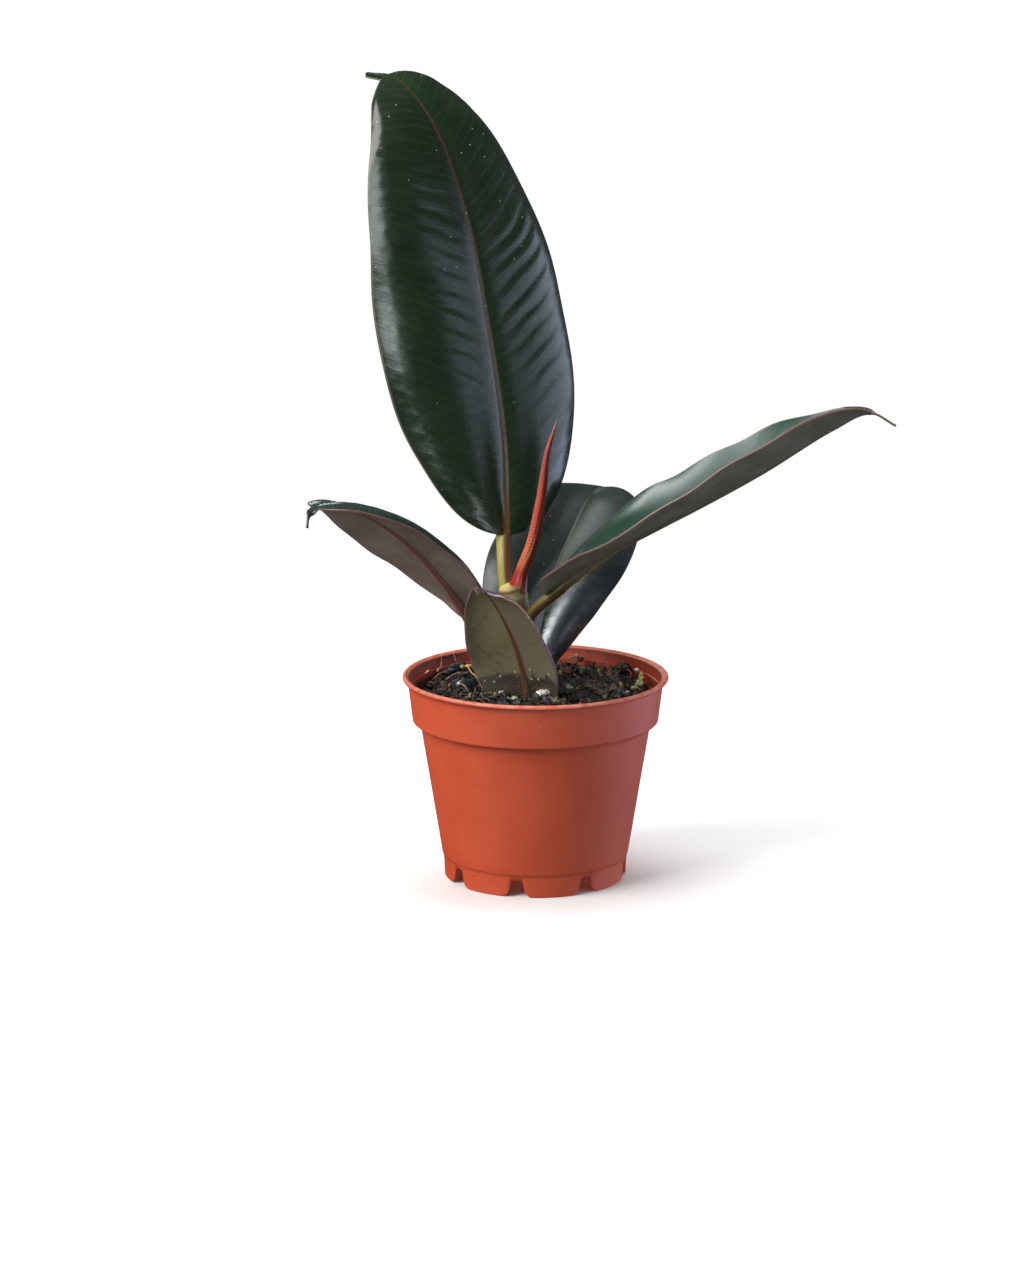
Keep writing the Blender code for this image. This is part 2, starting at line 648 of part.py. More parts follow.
clear_scene()
make_pot()
make_stem()
make_sheath()
for leaf_name, leaf_form in LEAVES.items():
    make_leaf(leaf_name, leaf_form)
make_soil(stem_tube("hole", GAP), [leaf_hole(LEAVES["leaf_front"]), leaf_hole(LEAVES["leaf_back"])])
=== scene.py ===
"""The looks of a young rubber plant in a small terracotta-coloured nursery pot.

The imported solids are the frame. Every node is replaced by a finer piece of the same form,
with its veins, ribs, crumbs and colours. Design values are in millimetres and degrees.
"""

import json
import math
import random
from dataclasses import dataclass

import bmesh
import bpy
import numpy as np
from mathutils import Matrix, Vector, noise

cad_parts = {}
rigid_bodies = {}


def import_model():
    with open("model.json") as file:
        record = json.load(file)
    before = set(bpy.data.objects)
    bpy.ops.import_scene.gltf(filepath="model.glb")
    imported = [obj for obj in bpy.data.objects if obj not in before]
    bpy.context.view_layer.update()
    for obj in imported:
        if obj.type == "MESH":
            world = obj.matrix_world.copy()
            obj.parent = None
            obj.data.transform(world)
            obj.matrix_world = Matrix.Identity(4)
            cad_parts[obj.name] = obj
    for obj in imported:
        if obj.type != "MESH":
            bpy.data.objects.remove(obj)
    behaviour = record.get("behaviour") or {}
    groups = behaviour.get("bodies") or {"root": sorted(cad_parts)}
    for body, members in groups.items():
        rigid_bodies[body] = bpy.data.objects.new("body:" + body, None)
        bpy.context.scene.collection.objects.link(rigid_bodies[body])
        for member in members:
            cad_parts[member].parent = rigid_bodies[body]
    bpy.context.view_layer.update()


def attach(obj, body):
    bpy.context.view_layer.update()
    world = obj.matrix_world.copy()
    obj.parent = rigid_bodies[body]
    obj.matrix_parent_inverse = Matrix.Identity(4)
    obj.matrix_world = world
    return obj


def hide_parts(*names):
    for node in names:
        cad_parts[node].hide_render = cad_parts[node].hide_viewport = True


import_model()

MM = 0.001
SEED = 11

# Camera: a long lens at the height of the leaves, aimed a little left of the pot's axis
CAMERA_DISTANCE = 800.0
CAMERA_ELEVATION = 13.2
CAMERA_TARGET = (-5.3, 0.0, 54.3)
CAMERA_LENS = 100.0

# Pot
POT_HEIGHT = 46.5
POT_WALL = 0.8
LIP_RADIUS = 30.0
LIP_HEIGHT = 1.0
LIP_ROLL = 0.55
LIP_WIDTH = 1.6
LIP_FILLET = 0.4
COLLAR_TOP_RADIUS = 28.9
COLLAR_FOOT_RADIUS = 27.8
COLLAR_FOOT = 36.4
BODY_TOP_RADIUS = 26.1
BODY_TOP = 35.9
INNER_LEDGE = (36.4, 37.2)
BODY_FOOT_RADIUS = 21.2
LEDGE = 5.3
FOOT_RADIUS = 20.6
FLOOR_BOTTOM = 4.4
FLOOR_TOP = 5.6
HUB_RADIUS = 3.2
INNER_STEP = 2.8
NOTCHES = 8
NOTCH_FIRST = -102.0
NOTCH_OUTLINE = [(0.0, 3.9), (1.0, 3.85), (1.35, 3.55), (1.55, 2.9), (1.75, 1.7), (2.0, 1.0),
                 (2.4, 0.5), (3.0, 0.15), (3.6, 0.0)]
DRAIN_RADIUS = 1.7
DRAIN_CIRCLE = 15.5
DRAIN_SIDES = 24
SHARP_ANGLE = 48.0
AXIS_GAP = 0.05

# Soil
SOIL_EDGE = 41.0
SOIL_CROWN = 43.0
SOIL_BANK = 1.3
SOIL_BUMP = 0.7
SOIL_BUMP_SPACING = 4.5
SOIL_SEED = 7
SOIL_RADIUS = 26.9
CRUMBS = 3000
CLODS = 280
WALL_CRUMBS = 70
STRANDS = 420

# Stem and sheath
TUBE_ROWS = 260
STEM_SIDES = 40
SHEATH_SIDES = 48
STEM_AXIS = [(1.0, 0.0, 24.0), (0.6, 0.0, 40.0), (-2.2, 0.0, 54.0), (-4.9, 0.0, 65.8)]
STEM_RADIUS = (2.7, 2.5, 2.4, 2.8)
STEM_NODES = (0.46, 0.68, 0.80, 0.93)
COLLAR_SHIFT = (-0.6, -0.5, 1.7)
SHEATH_AXIS = [(-4.1, -0.9, 66.0), (-3.2, -1.2, 70.0), (-0.9, -1.6, 76.6), (1.0, -1.9, 86.0),
               (2.6, -2.2, 97.5), (4.6, -2.5, 104.5)]
SHEATH_RADIUS = (2.3, 1.5, 1.35, 1.15, 0.72, 0.16)
SHEATH_SHARES = (0.0, 0.1, 0.28, 0.52, 0.82, 1.0)

# Stage
LIGHT_CENTRE = (0.0, 0.0, 0.09)
GLINT_TARGET = (0.003, 0.009, 0.050)
GLINT_SPREAD = 30.0
FLOOR_REACH = 600.0

# Leaves share these
BLADE_THICKNESS = 0.55
MARGIN_ROUND = 0.36
SECTION_STEPS = 48
CURL_POWER = 1.3
EASE_REACH = 0.15
EASE_STEPS = 261
BASE_HALF_WIDTH = 1.3
DRIP_HALF_WIDTH = 1.2
TIP_HALF_WIDTH = 0.45
BLADE_ROWS = 190
DRIP_ROWS = 14
MARGIN_STEPS = 4
VEIN_SLANT = 0.55
RIDGE_THINNING = (1.0, 0.62, 0.40, 0.12)
VEIN_SPACING = 2.3
SHEET_SPACING = 200.0
PETIOLE_ROWS = 40
RIDGE_ROWS = 150
PETIOLE_SIDES = 20


@dataclass
class Leaf:
    """A leaf: its midrib as points in space, the form of the blade and its colours."""

    petiole: list       # the stalk's axis, from the stem to the blade
    petiole_radius: float
    rib: list           # the midrib on the upper face, from the blade's base to its tip
    face: list          # the way the upper face looks, from the base to the tip
    half_width: float   # widest half, measured along the surface
    widest: float       # place of the widest point, as a share of the length
    drip: float         # the drip tip's share of the length
    crease: float       # slope up from the midrib, degrees
    curl_left: tuple    # fall of the left margin from base to tip, degrees
    curl_right: tuple   # fall of the right margin
    wave: float         # height of the margin's waves
    waves: float        # how many of them
    ripple: float       # height of the swellings between the side veins
    upper: tuple        # colour of the upper face
    under: tuple        # colour of the underside
    rib_under: tuple    # colour of the ridge below the midrib
    margin: tuple
    # the petiole's two sides: partly their own colours, partly painted light on the left and painted shade on
    # the right
    stalk_lit_side: tuple
    stalk_shade_side: tuple
    under_left: tuple = ()   # colour of the underside's left half, where it differs
    rolled: tuple = ()       # colour of the left margin's underside where it rolls over, a bluish painted sheen
    valley: float = 0.0      # depth of the soft fold along the midrib
    fold_reach: float = 2.6  # how far out from the midrib that fold dies away
    roll: float = 0.0        # drop of the rolled left margin
    rib_line: float = 0.3    # strength of the midrib's own colour on the upper face
    rib_keep: float = 1.5    # share of the length along which the ridge below keeps its colour
    stain: float = 0.0       # soil splashed up the underside, as a share of the length
    joint: float = 0.0       # where the petiole meets the midrib, as a share of its length
    grain: float = 1.0       # strength of the surface's fine relief
    dull: float = 0.0        # how much rougher the blade's outer half is than its base
    cracks: tuple = ()       # fine dark lines on the underside, each as millimetres out and along


LEAVES = {
    "leaf_upright": Leaf(
        petiole=[(-6.3, 1.6, 63.5), (-7.0, 3.4, 69.5)],
        petiole_radius=1.6,
        rib=[(-6.5, 4.5, 77.5), (-7.0, 9.0, 98.0), (-10.5, 12.5, 124.0), (-15.0, 15.0, 148.0),
             (-22.5, 17.5, 168.5), (-30.5, 21.0, 177.48), (-38.0, 27.0, 178.80)],
        face=[(0.45, -1.0, 0.2), (0.6, -1.0, 0.25), (0.9, -1.0, 0.55)],
        half_width=27.0, widest=0.43, drip=0.05, crease=8.0,
        curl_left=(43.0, 37.0), curl_right=(46.0, 54.0), wave=0.3, waves=4.0,
        ripple=0.12, valley=0.95, roll=0.7, rib_line=0.85,
        upper=(0.0105, 0.0230, 0.0105), under=(0.085, 0.070, 0.050), rib_under=(0.16, 0.09, 0.06),
        margin=(0.20, 0.17, 0.13), stalk_lit_side=(0.52, 0.46, 0.12), stalk_shade_side=(0.13, 0.060, 0.02)),
    "leaf_right": Leaf(
        petiole=[(-2.6, -0.8, 56.5), (-1.2, -2.0, 60.5)],
        petiole_radius=1.3,
        rib=[(2.3, -2.2, 66.3), (5.4, -3.6, 68.8), (16.6, -8.6, 77.3), (25.8, -13.2, 83.1),
             (35.6, -16.4, 88.8), (48.6, -20.2, 96.8), (63.6, -24.2, 107.0), (71.2, -25.5, 110.6),
             (77.05, -26.9, 107.9)],
        face=[(-0.34, 0.02, 1.15), (-0.48, -0.08, 0.88), (-0.31, -0.01, 0.98), (-0.22, 0.07, 1.01),
              (-0.04, 0.24, 0.96)],
        half_width=20.1, widest=0.42, drip=0.055, crease=27.0,
        curl_left=(6.0, 3.0, -27.0, -9.0), curl_right=(-10.0, -12.0, -22.0, -16.0),
        wave=0.3, waves=5.0, ripple=0.012, rib_keep=0.26,
        upper=(0.014, 0.040, 0.026), under=(0.140, 0.142, 0.092), rib_under=(0.27, 0.22, 0.03),
        margin=(0.24, 0.13, 0.10), stalk_lit_side=(0.13, 0.098, 0.009), stalk_shade_side=(0.085, 0.040, 0.010),
        joint=0.045, grain=0.1, dull=0.07),
    "leaf_left": Leaf(
        petiole=[(-2.2, 0.0, 51.5), (-8.0, 2.0, 53.5)],
        petiole_radius=1.2,
        rib=[(-14.0, 4.5, 58.0), (-16.5, 2.0, 62.5), (-24.0, -5.0, 73.5), (-31.0, -11.0, 81.5),
             (-40.5, -18.0, 88.5), (-46.0, -22.5, 90.0), (-48.7, -25.2, 88.6), (-49.3, -26.7, 85.4)],
        face=[(0.5, 0.7, 0.8), (0.4, 0.8, 0.8), (0.45, 0.25, 0.8)],
        half_width=14.8, widest=0.45, drip=0.085, crease=22.0,
        curl_left=(36.0, 62.0, 25.0), curl_right=(-6.0, 15.0, 38.0), wave=0.2, waves=4.0,
        ripple=0.03,
        upper=(0.014, 0.028, 0.024), under=(0.265, 0.205, 0.165), rib_under=(0.27, 0.080, 0.065),
        margin=(0.24, 0.10, 0.09), stalk_lit_side=(0.24, 0.12, 0.06), stalk_shade_side=(0.10, 0.04, 0.02)),
    "leaf_back": Leaf(
        petiole=[(0.8, 0.6, 39.5), (0.2, 3.0, 41.5)],
        petiole_radius=1.2,
        rib=[(-0.5, 4.0, 46.0), (2.5, 8.5, 61.0), (7.0, 13.0, 74.5), (13.0, 18.5, 85.5),
             (16.5, 25.0, 85.0), (20.0, 31.0, 80.5)],
        face=[(0.5, -1.0, 0.25), (-0.05, -0.5, 0.35), (-0.25, -0.25, 1.0)],
        half_width=17.3, widest=0.49, drip=0.08, crease=7.0,
        curl_left=(49.0, 42.0, 10.0), curl_right=(66.0, 68.0, 42.0), wave=0.2, waves=4.0,
        ripple=0.02, valley=1.1, fold_reach=5.5, rib_line=0.05,
        upper=(0.014, 0.024, 0.020), under=(0.075, 0.070, 0.052), rib_under=(0.14, 0.09, 0.05),
        margin=(0.16, 0.13, 0.11), stalk_lit_side=(0.20, 0.15, 0.05), stalk_shade_side=(0.09, 0.04, 0.02),
        dull=0.22),
    "leaf_front": Leaf(
        petiole=[(0.9, -0.6, 35.0), (0.4, -3.0, 35.5)],
        petiole_radius=1.1,
        rib=[(-0.8, -5.0, 38.2), (-3.2, -8.0, 51.6), (-6.1, -10.5, 60.1), (-10.2, -13.0, 67.7),
             (-11.7, -15.0, 69.3), (-12.9, -19.0, 69.5)],
        face=[(0.36, 0.91, 0.33), (0.56, 0.98, 0.17), (0.68, 0.92, 0.35)],
        half_width=12.1, widest=0.44, drip=0.1, crease=8.0,
        curl_left=(44.0, 55.0, 30.0), curl_right=(44.0, 51.0, 56.0), wave=0.15, waves=3.0,
        ripple=0.02,
        upper=(0.050, 0.052, 0.075), under=(0.165, 0.150, 0.072), rib_under=(0.125, 0.040, 0.020),
        margin=(0.20, 0.10, 0.085), stalk_lit_side=(0.16, 0.10, 0.04), stalk_shade_side=(0.07, 0.03, 0.015),
        stain=0.37, under_left=(0.165, 0.135, 0.085), rolled=(0.10, 0.10, 0.16),
        cracks=([(4.7, 10.8), (5.6, 12.9), (7.4, 15.7), (8.8, 18.4), (9.9, 21.7), (9.2, 25.0), (8.1, 27.5),
                 (5.5, 30.6)],
                [(9.2, 25.0), (7.0, 25.4), (5.0, 26.5), (3.1, 28.2)], [(7.4, 15.7), (5.4, 16.2), (3.6, 15.4)],
                [(-7.5, 19.8), (-5.4, 18.4), (-3.9, 18.9)])),
}


# Curves and tubes

def smooth_curve(points):
    """Finely spaced points on the smooth curve through the given ones."""
    points = np.array(points, float)
    chord = np.linalg.norm(np.diff(points, axis=0), axis=1)
    knots = np.concatenate([[0.0], np.cumsum(np.sqrt(chord))])
    slope = np.gradient(points, knots, axis=0)
    t = np.linspace(0.0, knots[-1], 400)
    i = np.clip(np.searchsorted(knots, t, side="right") - 1, 0, len(chord) - 1)
    step = (knots[i + 1] - knots[i])[:, None]
    u = (t - knots[i])[:, None] / step
    start = (1 + 2 * u) * (1 - u) ** 2 * points[i] + u * (1 - u) ** 2 * step * slope[i]
    end = u ** 2 * (3 - 2 * u) * points[i + 1] - u ** 2 * (1 - u) * step * slope[i + 1]
    return start + end


def curve_length(curve):
    return float(np.sum(np.linalg.norm(np.diff(curve, axis=0), axis=1)))


def along_curve(curve, shares):
    """Points at the given shares of a curve's length."""
    run = np.concatenate([[0.0], np.cumsum(np.linalg.norm(np.diff(curve, axis=0), axis=1))])
    at = np.asarray(shares) * run[-1]
    return np.stack([np.interp(at, run, curve[:, k]) for k in range(3)], axis=-1)


def eased(shares, stations):
    """Values between evenly spaced stations, with the corners rounded off."""
    fine = np.linspace(-EASE_REACH, 1 + EASE_REACH, EASE_STEPS)
    values = np.interp(fine, np.linspace(0, 1, len(stations)), stations)
    window = np.hanning(round(EASE_REACH * EASE_STEPS))
    return np.interp(shares, fine, np.convolve(values, window / window.sum(), mode="same"))


def unit(vectors):
    return vectors / np.linalg.norm(vectors, axis=-1, keepdims=True)


def smooth_step(low, high, value):
    share = np.clip((value - low) / (high - low), 0, 1)
    return share * share * (3 - 2 * share)


def noise_at(points, spacing, seed=0.0):
    """Smooth noise between about -1 and 1 at each point, with bumps of the given spacing."""
    flat = np.asarray(points, float).reshape(-1, 3) / spacing + seed
    return np.array([noise.noise(Vector(p)) for p in flat]).reshape(np.shape(points)[:-1])


def ring_faces(rows, columns):
    """Quads between rings of points, and a fan over each end."""
    faces = []
    for i in range(rows - 1):
        for j in range(columns):
            a, b = i * columns + j, i * columns + (j + 1) % columns
            faces.append((a, b, b + columns, a + columns))
    last = (rows - 1) * columns
    faces.append(tuple(reversed(range(columns))))
    faces.append(tuple(range(last, last + columns)))
    return faces


def linked(made):
    bpy.context.scene.collection.objects.link(made)
    return made


def piece(name, points, faces, finish, attributes=None):
    """A smooth mesh object from points in millimetres, with values stored at its points."""
    mesh = bpy.data.meshes.new(name)
    mesh.from_pydata((np.asarray(points).reshape(-1, 3) * MM).tolist(), [], faces)
    mesh.materials.append(finish)
    for key, values in (attributes or {}).items():
        store = mesh.attributes.new(key, "FLOAT_VECTOR", "POINT")
        store.data.foreach_set("vector", np.asarray(values, np.float32).reshape(-1))
    mesh.shade_smooth()
    return linked(bpy.data.objects.new(name, mesh))


def stands_for(made, slot_name, *nodes):
    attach(made, "root")
    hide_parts(*nodes)


def stacked(shape, *values):
    """Values in threes for each point of a grid, from arrays that fit its rows or its columns."""
    return np.stack([np.broadcast_to(value, shape) for value in values], axis=-1)


def tube_points(axis, radii, sides):
    """Rings round an axis; the first side looks to the left of the axis, seen from the front."""
    axis = np.array(axis, float)
    heading = unit(np.gradient(axis, axis=0))
    side = unit(np.cross(heading, (0.0, 1.0, 0.2)))
    other = np.cross(heading, side)
    turn = np.linspace(0, 2 * math.pi, sides, endpoint=False)
    ring = np.cos(turn)[None, :, None] * side[:, None] + np.sin(turn)[None, :, None] * other[:, None]
    return axis[:, None] + ring * np.broadcast_to(radii, (sides, len(axis))).T[:, :, None], turn


def swollen(points, axis, share):
    """Rings moved out from their axis, by a share of their radius."""
    centre = axis[:, None]
    return centre + (points - centre) * (1 + share)[:, :, None]


# Material helpers

class Nodes:
    """A node tree under construction: short calls that add one node each and give its output."""

    def __init__(self, tree):
        self.tree = tree

    def put(self, socket, value):
        if isinstance(value, bpy.types.NodeSocket):
            self.tree.links.new(value, socket)
        elif isinstance(value, tuple) and len(value) == 3 and socket.type == "RGBA":
            socket.default_value = (*value, 1.0)
        else:
            socket.default_value = value

    def node(self, kind, inputs, **settings):
        made = self.tree.nodes.new("ShaderNode" + kind)
        for key, value in settings.items():
            setattr(made, key, value)
        for key, value in inputs.items():
            self.put(made.inputs[key], value)
        return made

    def add(self, kind, inputs, output, **settings):
        return self.node(kind, inputs, **settings).outputs[output]


class Finish(Nodes):
    """A material. Its colour is laid in coats, one over another, and finish closes it."""

    def __init__(self, name):
        self.material = bpy.data.materials.new(name)
        self.material.use_nodes = True
        super().__init__(self.material.node_tree)
        self.shader = self.tree.nodes["Principled BSDF"]
        self.color = None

    def stored(self, name):
        """The three values stored at the points under this name, together and one by one."""
        vector = self.add("Attribute", {}, "Vector", attribute_name=name)
        return vector, *self.node("SeparateXYZ", {0: vector}).outputs

    def place(self):
        return self.add("TexCoord", {}, "Object")

    def calc(self, operation, first, second=0.0, third=0.0):
        return self.add("Math", {0: first, 1: second, 2: third}, 0, operation=operation)

    def times(self, product, *factors):
        for factor in factors:
            product = self.calc("MULTIPLY", product, factor)
        return product

    def away(self, value, middle):
        """How far a value is from a middle one."""
        return self.calc("ABSOLUTE", self.calc("SUBTRACT", value, middle))

    def step(self, value, low, high, to_low=0.0, to_high=1.0):
        """A smooth step from one value to another as the input goes from low to high."""
        inputs = {"Value": value, "From Min": low, "From Max": high, "To Min": to_low, "To Max": to_high}
        return self.add("MapRange", inputs, 0, interpolation_type="SMOOTHSTEP")

    def mix(self, share, first, second):
        """A colour between two, by share."""
        return self.add("Mix", {0: share, 6: first, 7: second}, 2, data_type="RGBA")

    def coat(self, color, *shares):
        """Lays a colour over the others, as far as the product of the shares says."""
        self.color = self.mix(self.times(*shares), self.color, color)

    def noise(self, vector, scale, detail=3.0, roughness=0.5):
        inputs = {"Vector": vector, "Scale": scale, "Detail": detail, "Roughness": roughness}
        return self.add("TexNoise", inputs, 0)

    def stretched(self, vector, scale):
        return self.add("VectorMath", {0: vector, 1: scale}, 0, operation="MULTIPLY")

    def length(self, vector):
        return self.add("VectorMath", {0: vector}, "Value", operation="LENGTH")

    def streaks(self, scale, detail=3.0, roughness=0.5):
        """Noise in the object's own space, with a scale for each axis."""
        return self.noise(self.stretched(self.place(), scale), 1.0, detail, roughness)

    def specks(self, vector, spacing, size, share, dimensions="3D"):
        """Round spots: one in each cell of the given spacing, of which a share shows."""
        inputs = {"Vector": vector, "Scale": 1.0 / spacing}
        cells = self.node("TexVoronoi", inputs, voronoi_dimensions=dimensions)
        pick = self.add("SeparateColor", {0: cells.outputs["Color"]}, 0)
        spot = self.step(cells.outputs["Distance"], size / spacing, 0.5 * size / spacing)
        return self.times(spot, self.calc("LESS_THAN", pick, share))

    def bump(self, height, depth, under=None):
        """Relief of the given depth in millimetres; under is a relief that it lies on."""
        inputs = {"Height": height, "Distance": depth * MM}
        if under is not None:
            inputs["Normal"] = under
        return self.add("Bump", inputs, 0)

    def finish(self, roughness, normal=None, specular=0.5):
        self.put(self.shader.inputs["Base Color"], self.color)
        self.put(self.shader.inputs["Roughness"], roughness)
        self.put(self.shader.inputs["Specular IOR Level"], specular)
        if normal is not None:
            self.put(self.shader.inputs["Normal"], normal)
        return self.material


def shade(color, red, green, blue):
    """A colour with each of its parts made stronger or weaker."""
    return color[0] * red, color[1] * green, color[2] * blue


# Leaves

def blade_shares(leaf):
    """Rows along the midrib, close together where the outline turns, then the drip tip."""
    end = 1.0 - leaf.drip
    body = end * (1 - np.cos(np.linspace(0, math.pi, BLADE_ROWS))) / 2
    even = np.linspace(0, end, BLADE_ROWS)
    return np.concatenate([0.5 * (body + even), np.linspace(end, 1.0, DRIP_ROWS + 1)[1:]])


def half_widths(leaf, shares):
    """Two half ellipses that meet at the widest point, and a slim drip tip."""
    end = 1.0 - leaf.drip
    top = leaf.widest * end
    off = np.where(shares < top, (top - shares) / top, np.clip((shares - top) / (end - top), 0, 1))
    body = leaf.half_width * np.sqrt(np.clip(1 - off ** 2, 0, 1))
    slim = np.interp(shares, (0.0, end, 1.0), (BASE_HALF_WIDTH, DRIP_HALF_WIDTH, TIP_HALF_WIDTH))
    widths = np.hypot(body, slim)
    return widths - MARGIN_ROUND * np.clip(widths / 2.0, 0, 1)


def rib_frame(leaf, shares):
    """Points of the midrib, with its heading, the face's normal and the way to the right."""
    curve = smooth_curve(leaf.rib)
    ahead = along_curve(curve, np.clip(shares + 0.004, 0, 1))
    behind = along_curve(curve, np.clip(shares - 0.004, 0, 1))
    heading = unit(ahead - behind)
    look = np.stack([eased(shares, [f[k] for f in leaf.face]) for k in range(3)], axis=-1)
    normal = unit(look - np.sum(look * heading, axis=-1, keepdims=True) * heading)
    return along_curve(curve, shares), heading, normal, np.cross(heading, normal)


def side_section(leaf, shares, widths, curl):
    """Distances out and up from the midrib to one margin, and the slope at each point."""
    mid = (np.arange(SECTION_STEPS) + 0.5) / SECTION_STEPS
    edge = np.linspace(0, 1, SECTION_STEPS + 1)
    room = np.clip(widths / (0.5 * leaf.half_width), 0, 1)
    rise = room * np.radians(leaf.crease) * (1 - 0.5 * shares)
    fall = room * np.radians(eased(shares, curl))
    slope = rise[:, None] - (rise + fall)[:, None] * mid[None, :] ** CURL_POWER
    step = (widths / SECTION_STEPS)[:, None]
    start = np.zeros((len(shares), 1))
    out = np.concatenate([start, np.cumsum(np.cos(slope) * step, axis=1)], axis=1)
    up = np.concatenate([start, np.cumsum(np.sin(slope) * step, axis=1)], axis=1)
    return out, up, rise[:, None] - (rise + fall)[:, None] * edge[None, :] ** CURL_POWER


class Blade:
    """The upper face as a grid: rows along the midrib and columns from left to right."""

    def __init__(self, leaf, number):
        shares = blade_shares(leaf)
        widths = half_widths(leaf, shares)
        middle, _, normal, right = rib_frame(leaf, shares)
        across = np.linspace(0, 1, SECTION_STEPS + 1)
        sides = []
        for sign, curl in ((-1, leaf.curl_left), (1, leaf.curl_right)):
            phase = np.sin(2 * math.pi * leaf.waves * shares + sign)
            out, up, slope = side_section(leaf, shares, widths, curl)
            room = np.clip(widths / leaf.half_width, 0, 1) * phase * leaf.wave
            up = up + room[:, None] * across ** 2
            outward = sign * right[:, None]
            face = normal[:, None]
            cos, sin = np.cos(slope)[:, :, None], np.sin(slope)[:, :, None]
            sides.append((middle[:, None] + out[:, :, None] * outward + up[:, :, None] * face,
                          cos * face - sin * outward, cos * outward + sin * face))
            sides[-1][1][:, 0] = normal
        self.points, self.normals, self.outward = (
            np.concatenate([left[:, :0:-1], right_side], axis=1) for left, right_side in zip(*sides))
        signed = np.concatenate([-across[:0:-1], across])
        self.out = widths[:, None] * signed
        self.along = (shares * curve_length(smooth_curve(leaf.rib)))[:, None]
        self.across = np.abs(signed)[None, :]
        self.share = shares[:, None]
        self.number = number

    def sheet(self):
        """Millimetres out from the midrib and along it, on a sheet of the leaf's own."""
        return stacked(self.out.shape, self.out, self.along, SHEET_SPACING * self.number)

    def look(self, upper):
        """Share across, share along, and 1 on the upper face or 0 on the underside."""
        return stacked(self.out.shape, self.across, self.share, upper)


def vein_phase(blade):
    """Whole numbers lie on the side veins, which slant up and wander a little."""
    wander = noise_at(blade.sheet(), 9.0) * 1.3
    return (blade.along - VEIN_SLANT * np.abs(blade.out) + wander) / VEIN_SPACING


def valley_depth(leaf, shares):
    """Depth of the soft fold at the midrib, which fades out towards the base and the tip."""
    return leaf.valley * smooth_step(0.0, 0.10, shares) * (1 - smooth_step(0.72, 0.98, shares))


def margin_roll(leaf, blade):
    """Drop of the left margin, which rolls back."""
    share = np.clip((blade.across - 0.72) / 0.28, 0, 1)
    return np.where(blade.out < 0, leaf.roll * smooth_step(0.0, 0.2, blade.share) * share ** 2, 0.0)


def upper_relief(leaf, blade):
    """The fold and a fine groove at the midrib, and swellings between the side veins."""
    groove = -0.10 * np.exp(-(blade.out / 0.45) ** 2) * (1 - blade.share)
    valley = -valley_depth(leaf, blade.share) * np.exp(-np.abs(blade.out) / leaf.fold_reach)
    phase = vein_phase(blade)
    strength = 0.65 + 0.9 * noise_at(blade.sheet(), 12.0, 5.0)
    ripple = 0.40 * np.cos(2 * math.pi * phase) + np.cos(math.pi * phase + 1.0)
    window = smooth_step(0.06, 0.3, blade.across) * (1 - smooth_step(0.75, 1.0, blade.across))
    ends = smooth_step(0.15, 0.5, blade.share) * (1 - smooth_step(0.75, 0.95, blade.share))
    swell = leaf.ripple * ripple * strength * window * (0.25 + 0.75 * ends)
    mottle = 0.10 * leaf.roll * noise_at(blade.sheet(), 2.6, 8.0) * smooth_step(0.7, 0.85, blade.across)
    return groove + valley + np.where(blade.out > 0, swell, 0.7 * swell + mottle) - margin_roll(leaf, blade)


def under_relief(leaf, blade):
    """The fold, a fillet beside the midrib's ridge, and fine raised side veins."""
    valley = valley_depth(leaf, blade.share) * np.exp(-np.abs(blade.out) / leaf.fold_reach)
    fillet = 0.35 * leaf.petiole_radius * (1 - blade.share)
    ridge = valley + fillet * np.exp(-(blade.out / (1.7 * leaf.petiole_radius)) ** 2)
    veins = 0.035 * np.maximum(0, np.cos(2 * math.pi * vein_phase(blade))) ** 6
    window = smooth_step(0.05, 0.2, blade.across) * (1 - smooth_step(0.85, 0.95, blade.across))
    rim = 0.05 * np.exp(-((blade.across - 0.94) / 0.02) ** 2)
    return ridge + veins * window + rim * smooth_step(0.03, 0.1, blade.share) + margin_roll(leaf, blade)


def blade_piece(name, leaf, blade):
    """The blade as rings: the upper face, a round margin, the underside and a round margin."""
    room = np.clip(np.abs(blade.out).max(axis=1, keepdims=True) / 2.0, 0.7, 1.0)[:, :, None]
    thick = BLADE_THICKNESS * room
    top = blade.points + blade.normals * upper_relief(leaf, blade)[:, :, None]
    under = blade.points - blade.normals * (thick + under_relief(leaf, blade)[:, :, None])
    rings, places, looks = [top], [blade.sheet()], [blade.look(1.0)]
    turn = np.linspace(0, math.pi, MARGIN_STEPS + 2)[1:-1]
    for column in (-1, 0):
        centre = 0.5 * (top[:, column] + under[:, column])
        arm = 0.5 * (top[:, column] - under[:, column])
        reach = blade.outward[:, column] * 0.5 * thick[:, 0]
        order = turn if column else turn[::-1]
        arc = [centre + math.cos(a) * arm + math.sin(a) * reach for a in order]
        rings.append(np.stack(arc, axis=1))
        places.append(np.repeat(blade.sheet()[:, column][:, None], len(turn), axis=1))
        look = np.repeat(blade.look(0.0)[:, column][:, None], len(turn), axis=1)
        look[:, :, 2] = (1 + np.cos(order)) / 2
        looks.append(look)
        if column:
            rings.append(under[:, ::-1])
            places.append(blade.sheet()[:, ::-1])
            looks.append(blade.look(0.0)[:, ::-1])
    points = np.concatenate(rings, axis=1)
    faces = [face[::-1] for face in ring_faces(*points.shape[:2])]
    sheet = np.concatenate(places, axis=1)
    stored = {"blade": sheet, "look": np.concatenate(looks, axis=1), "cracks": crack_distance(leaf, sheet)}
    return piece(name, points, faces, blade_finish(name, leaf), stored)


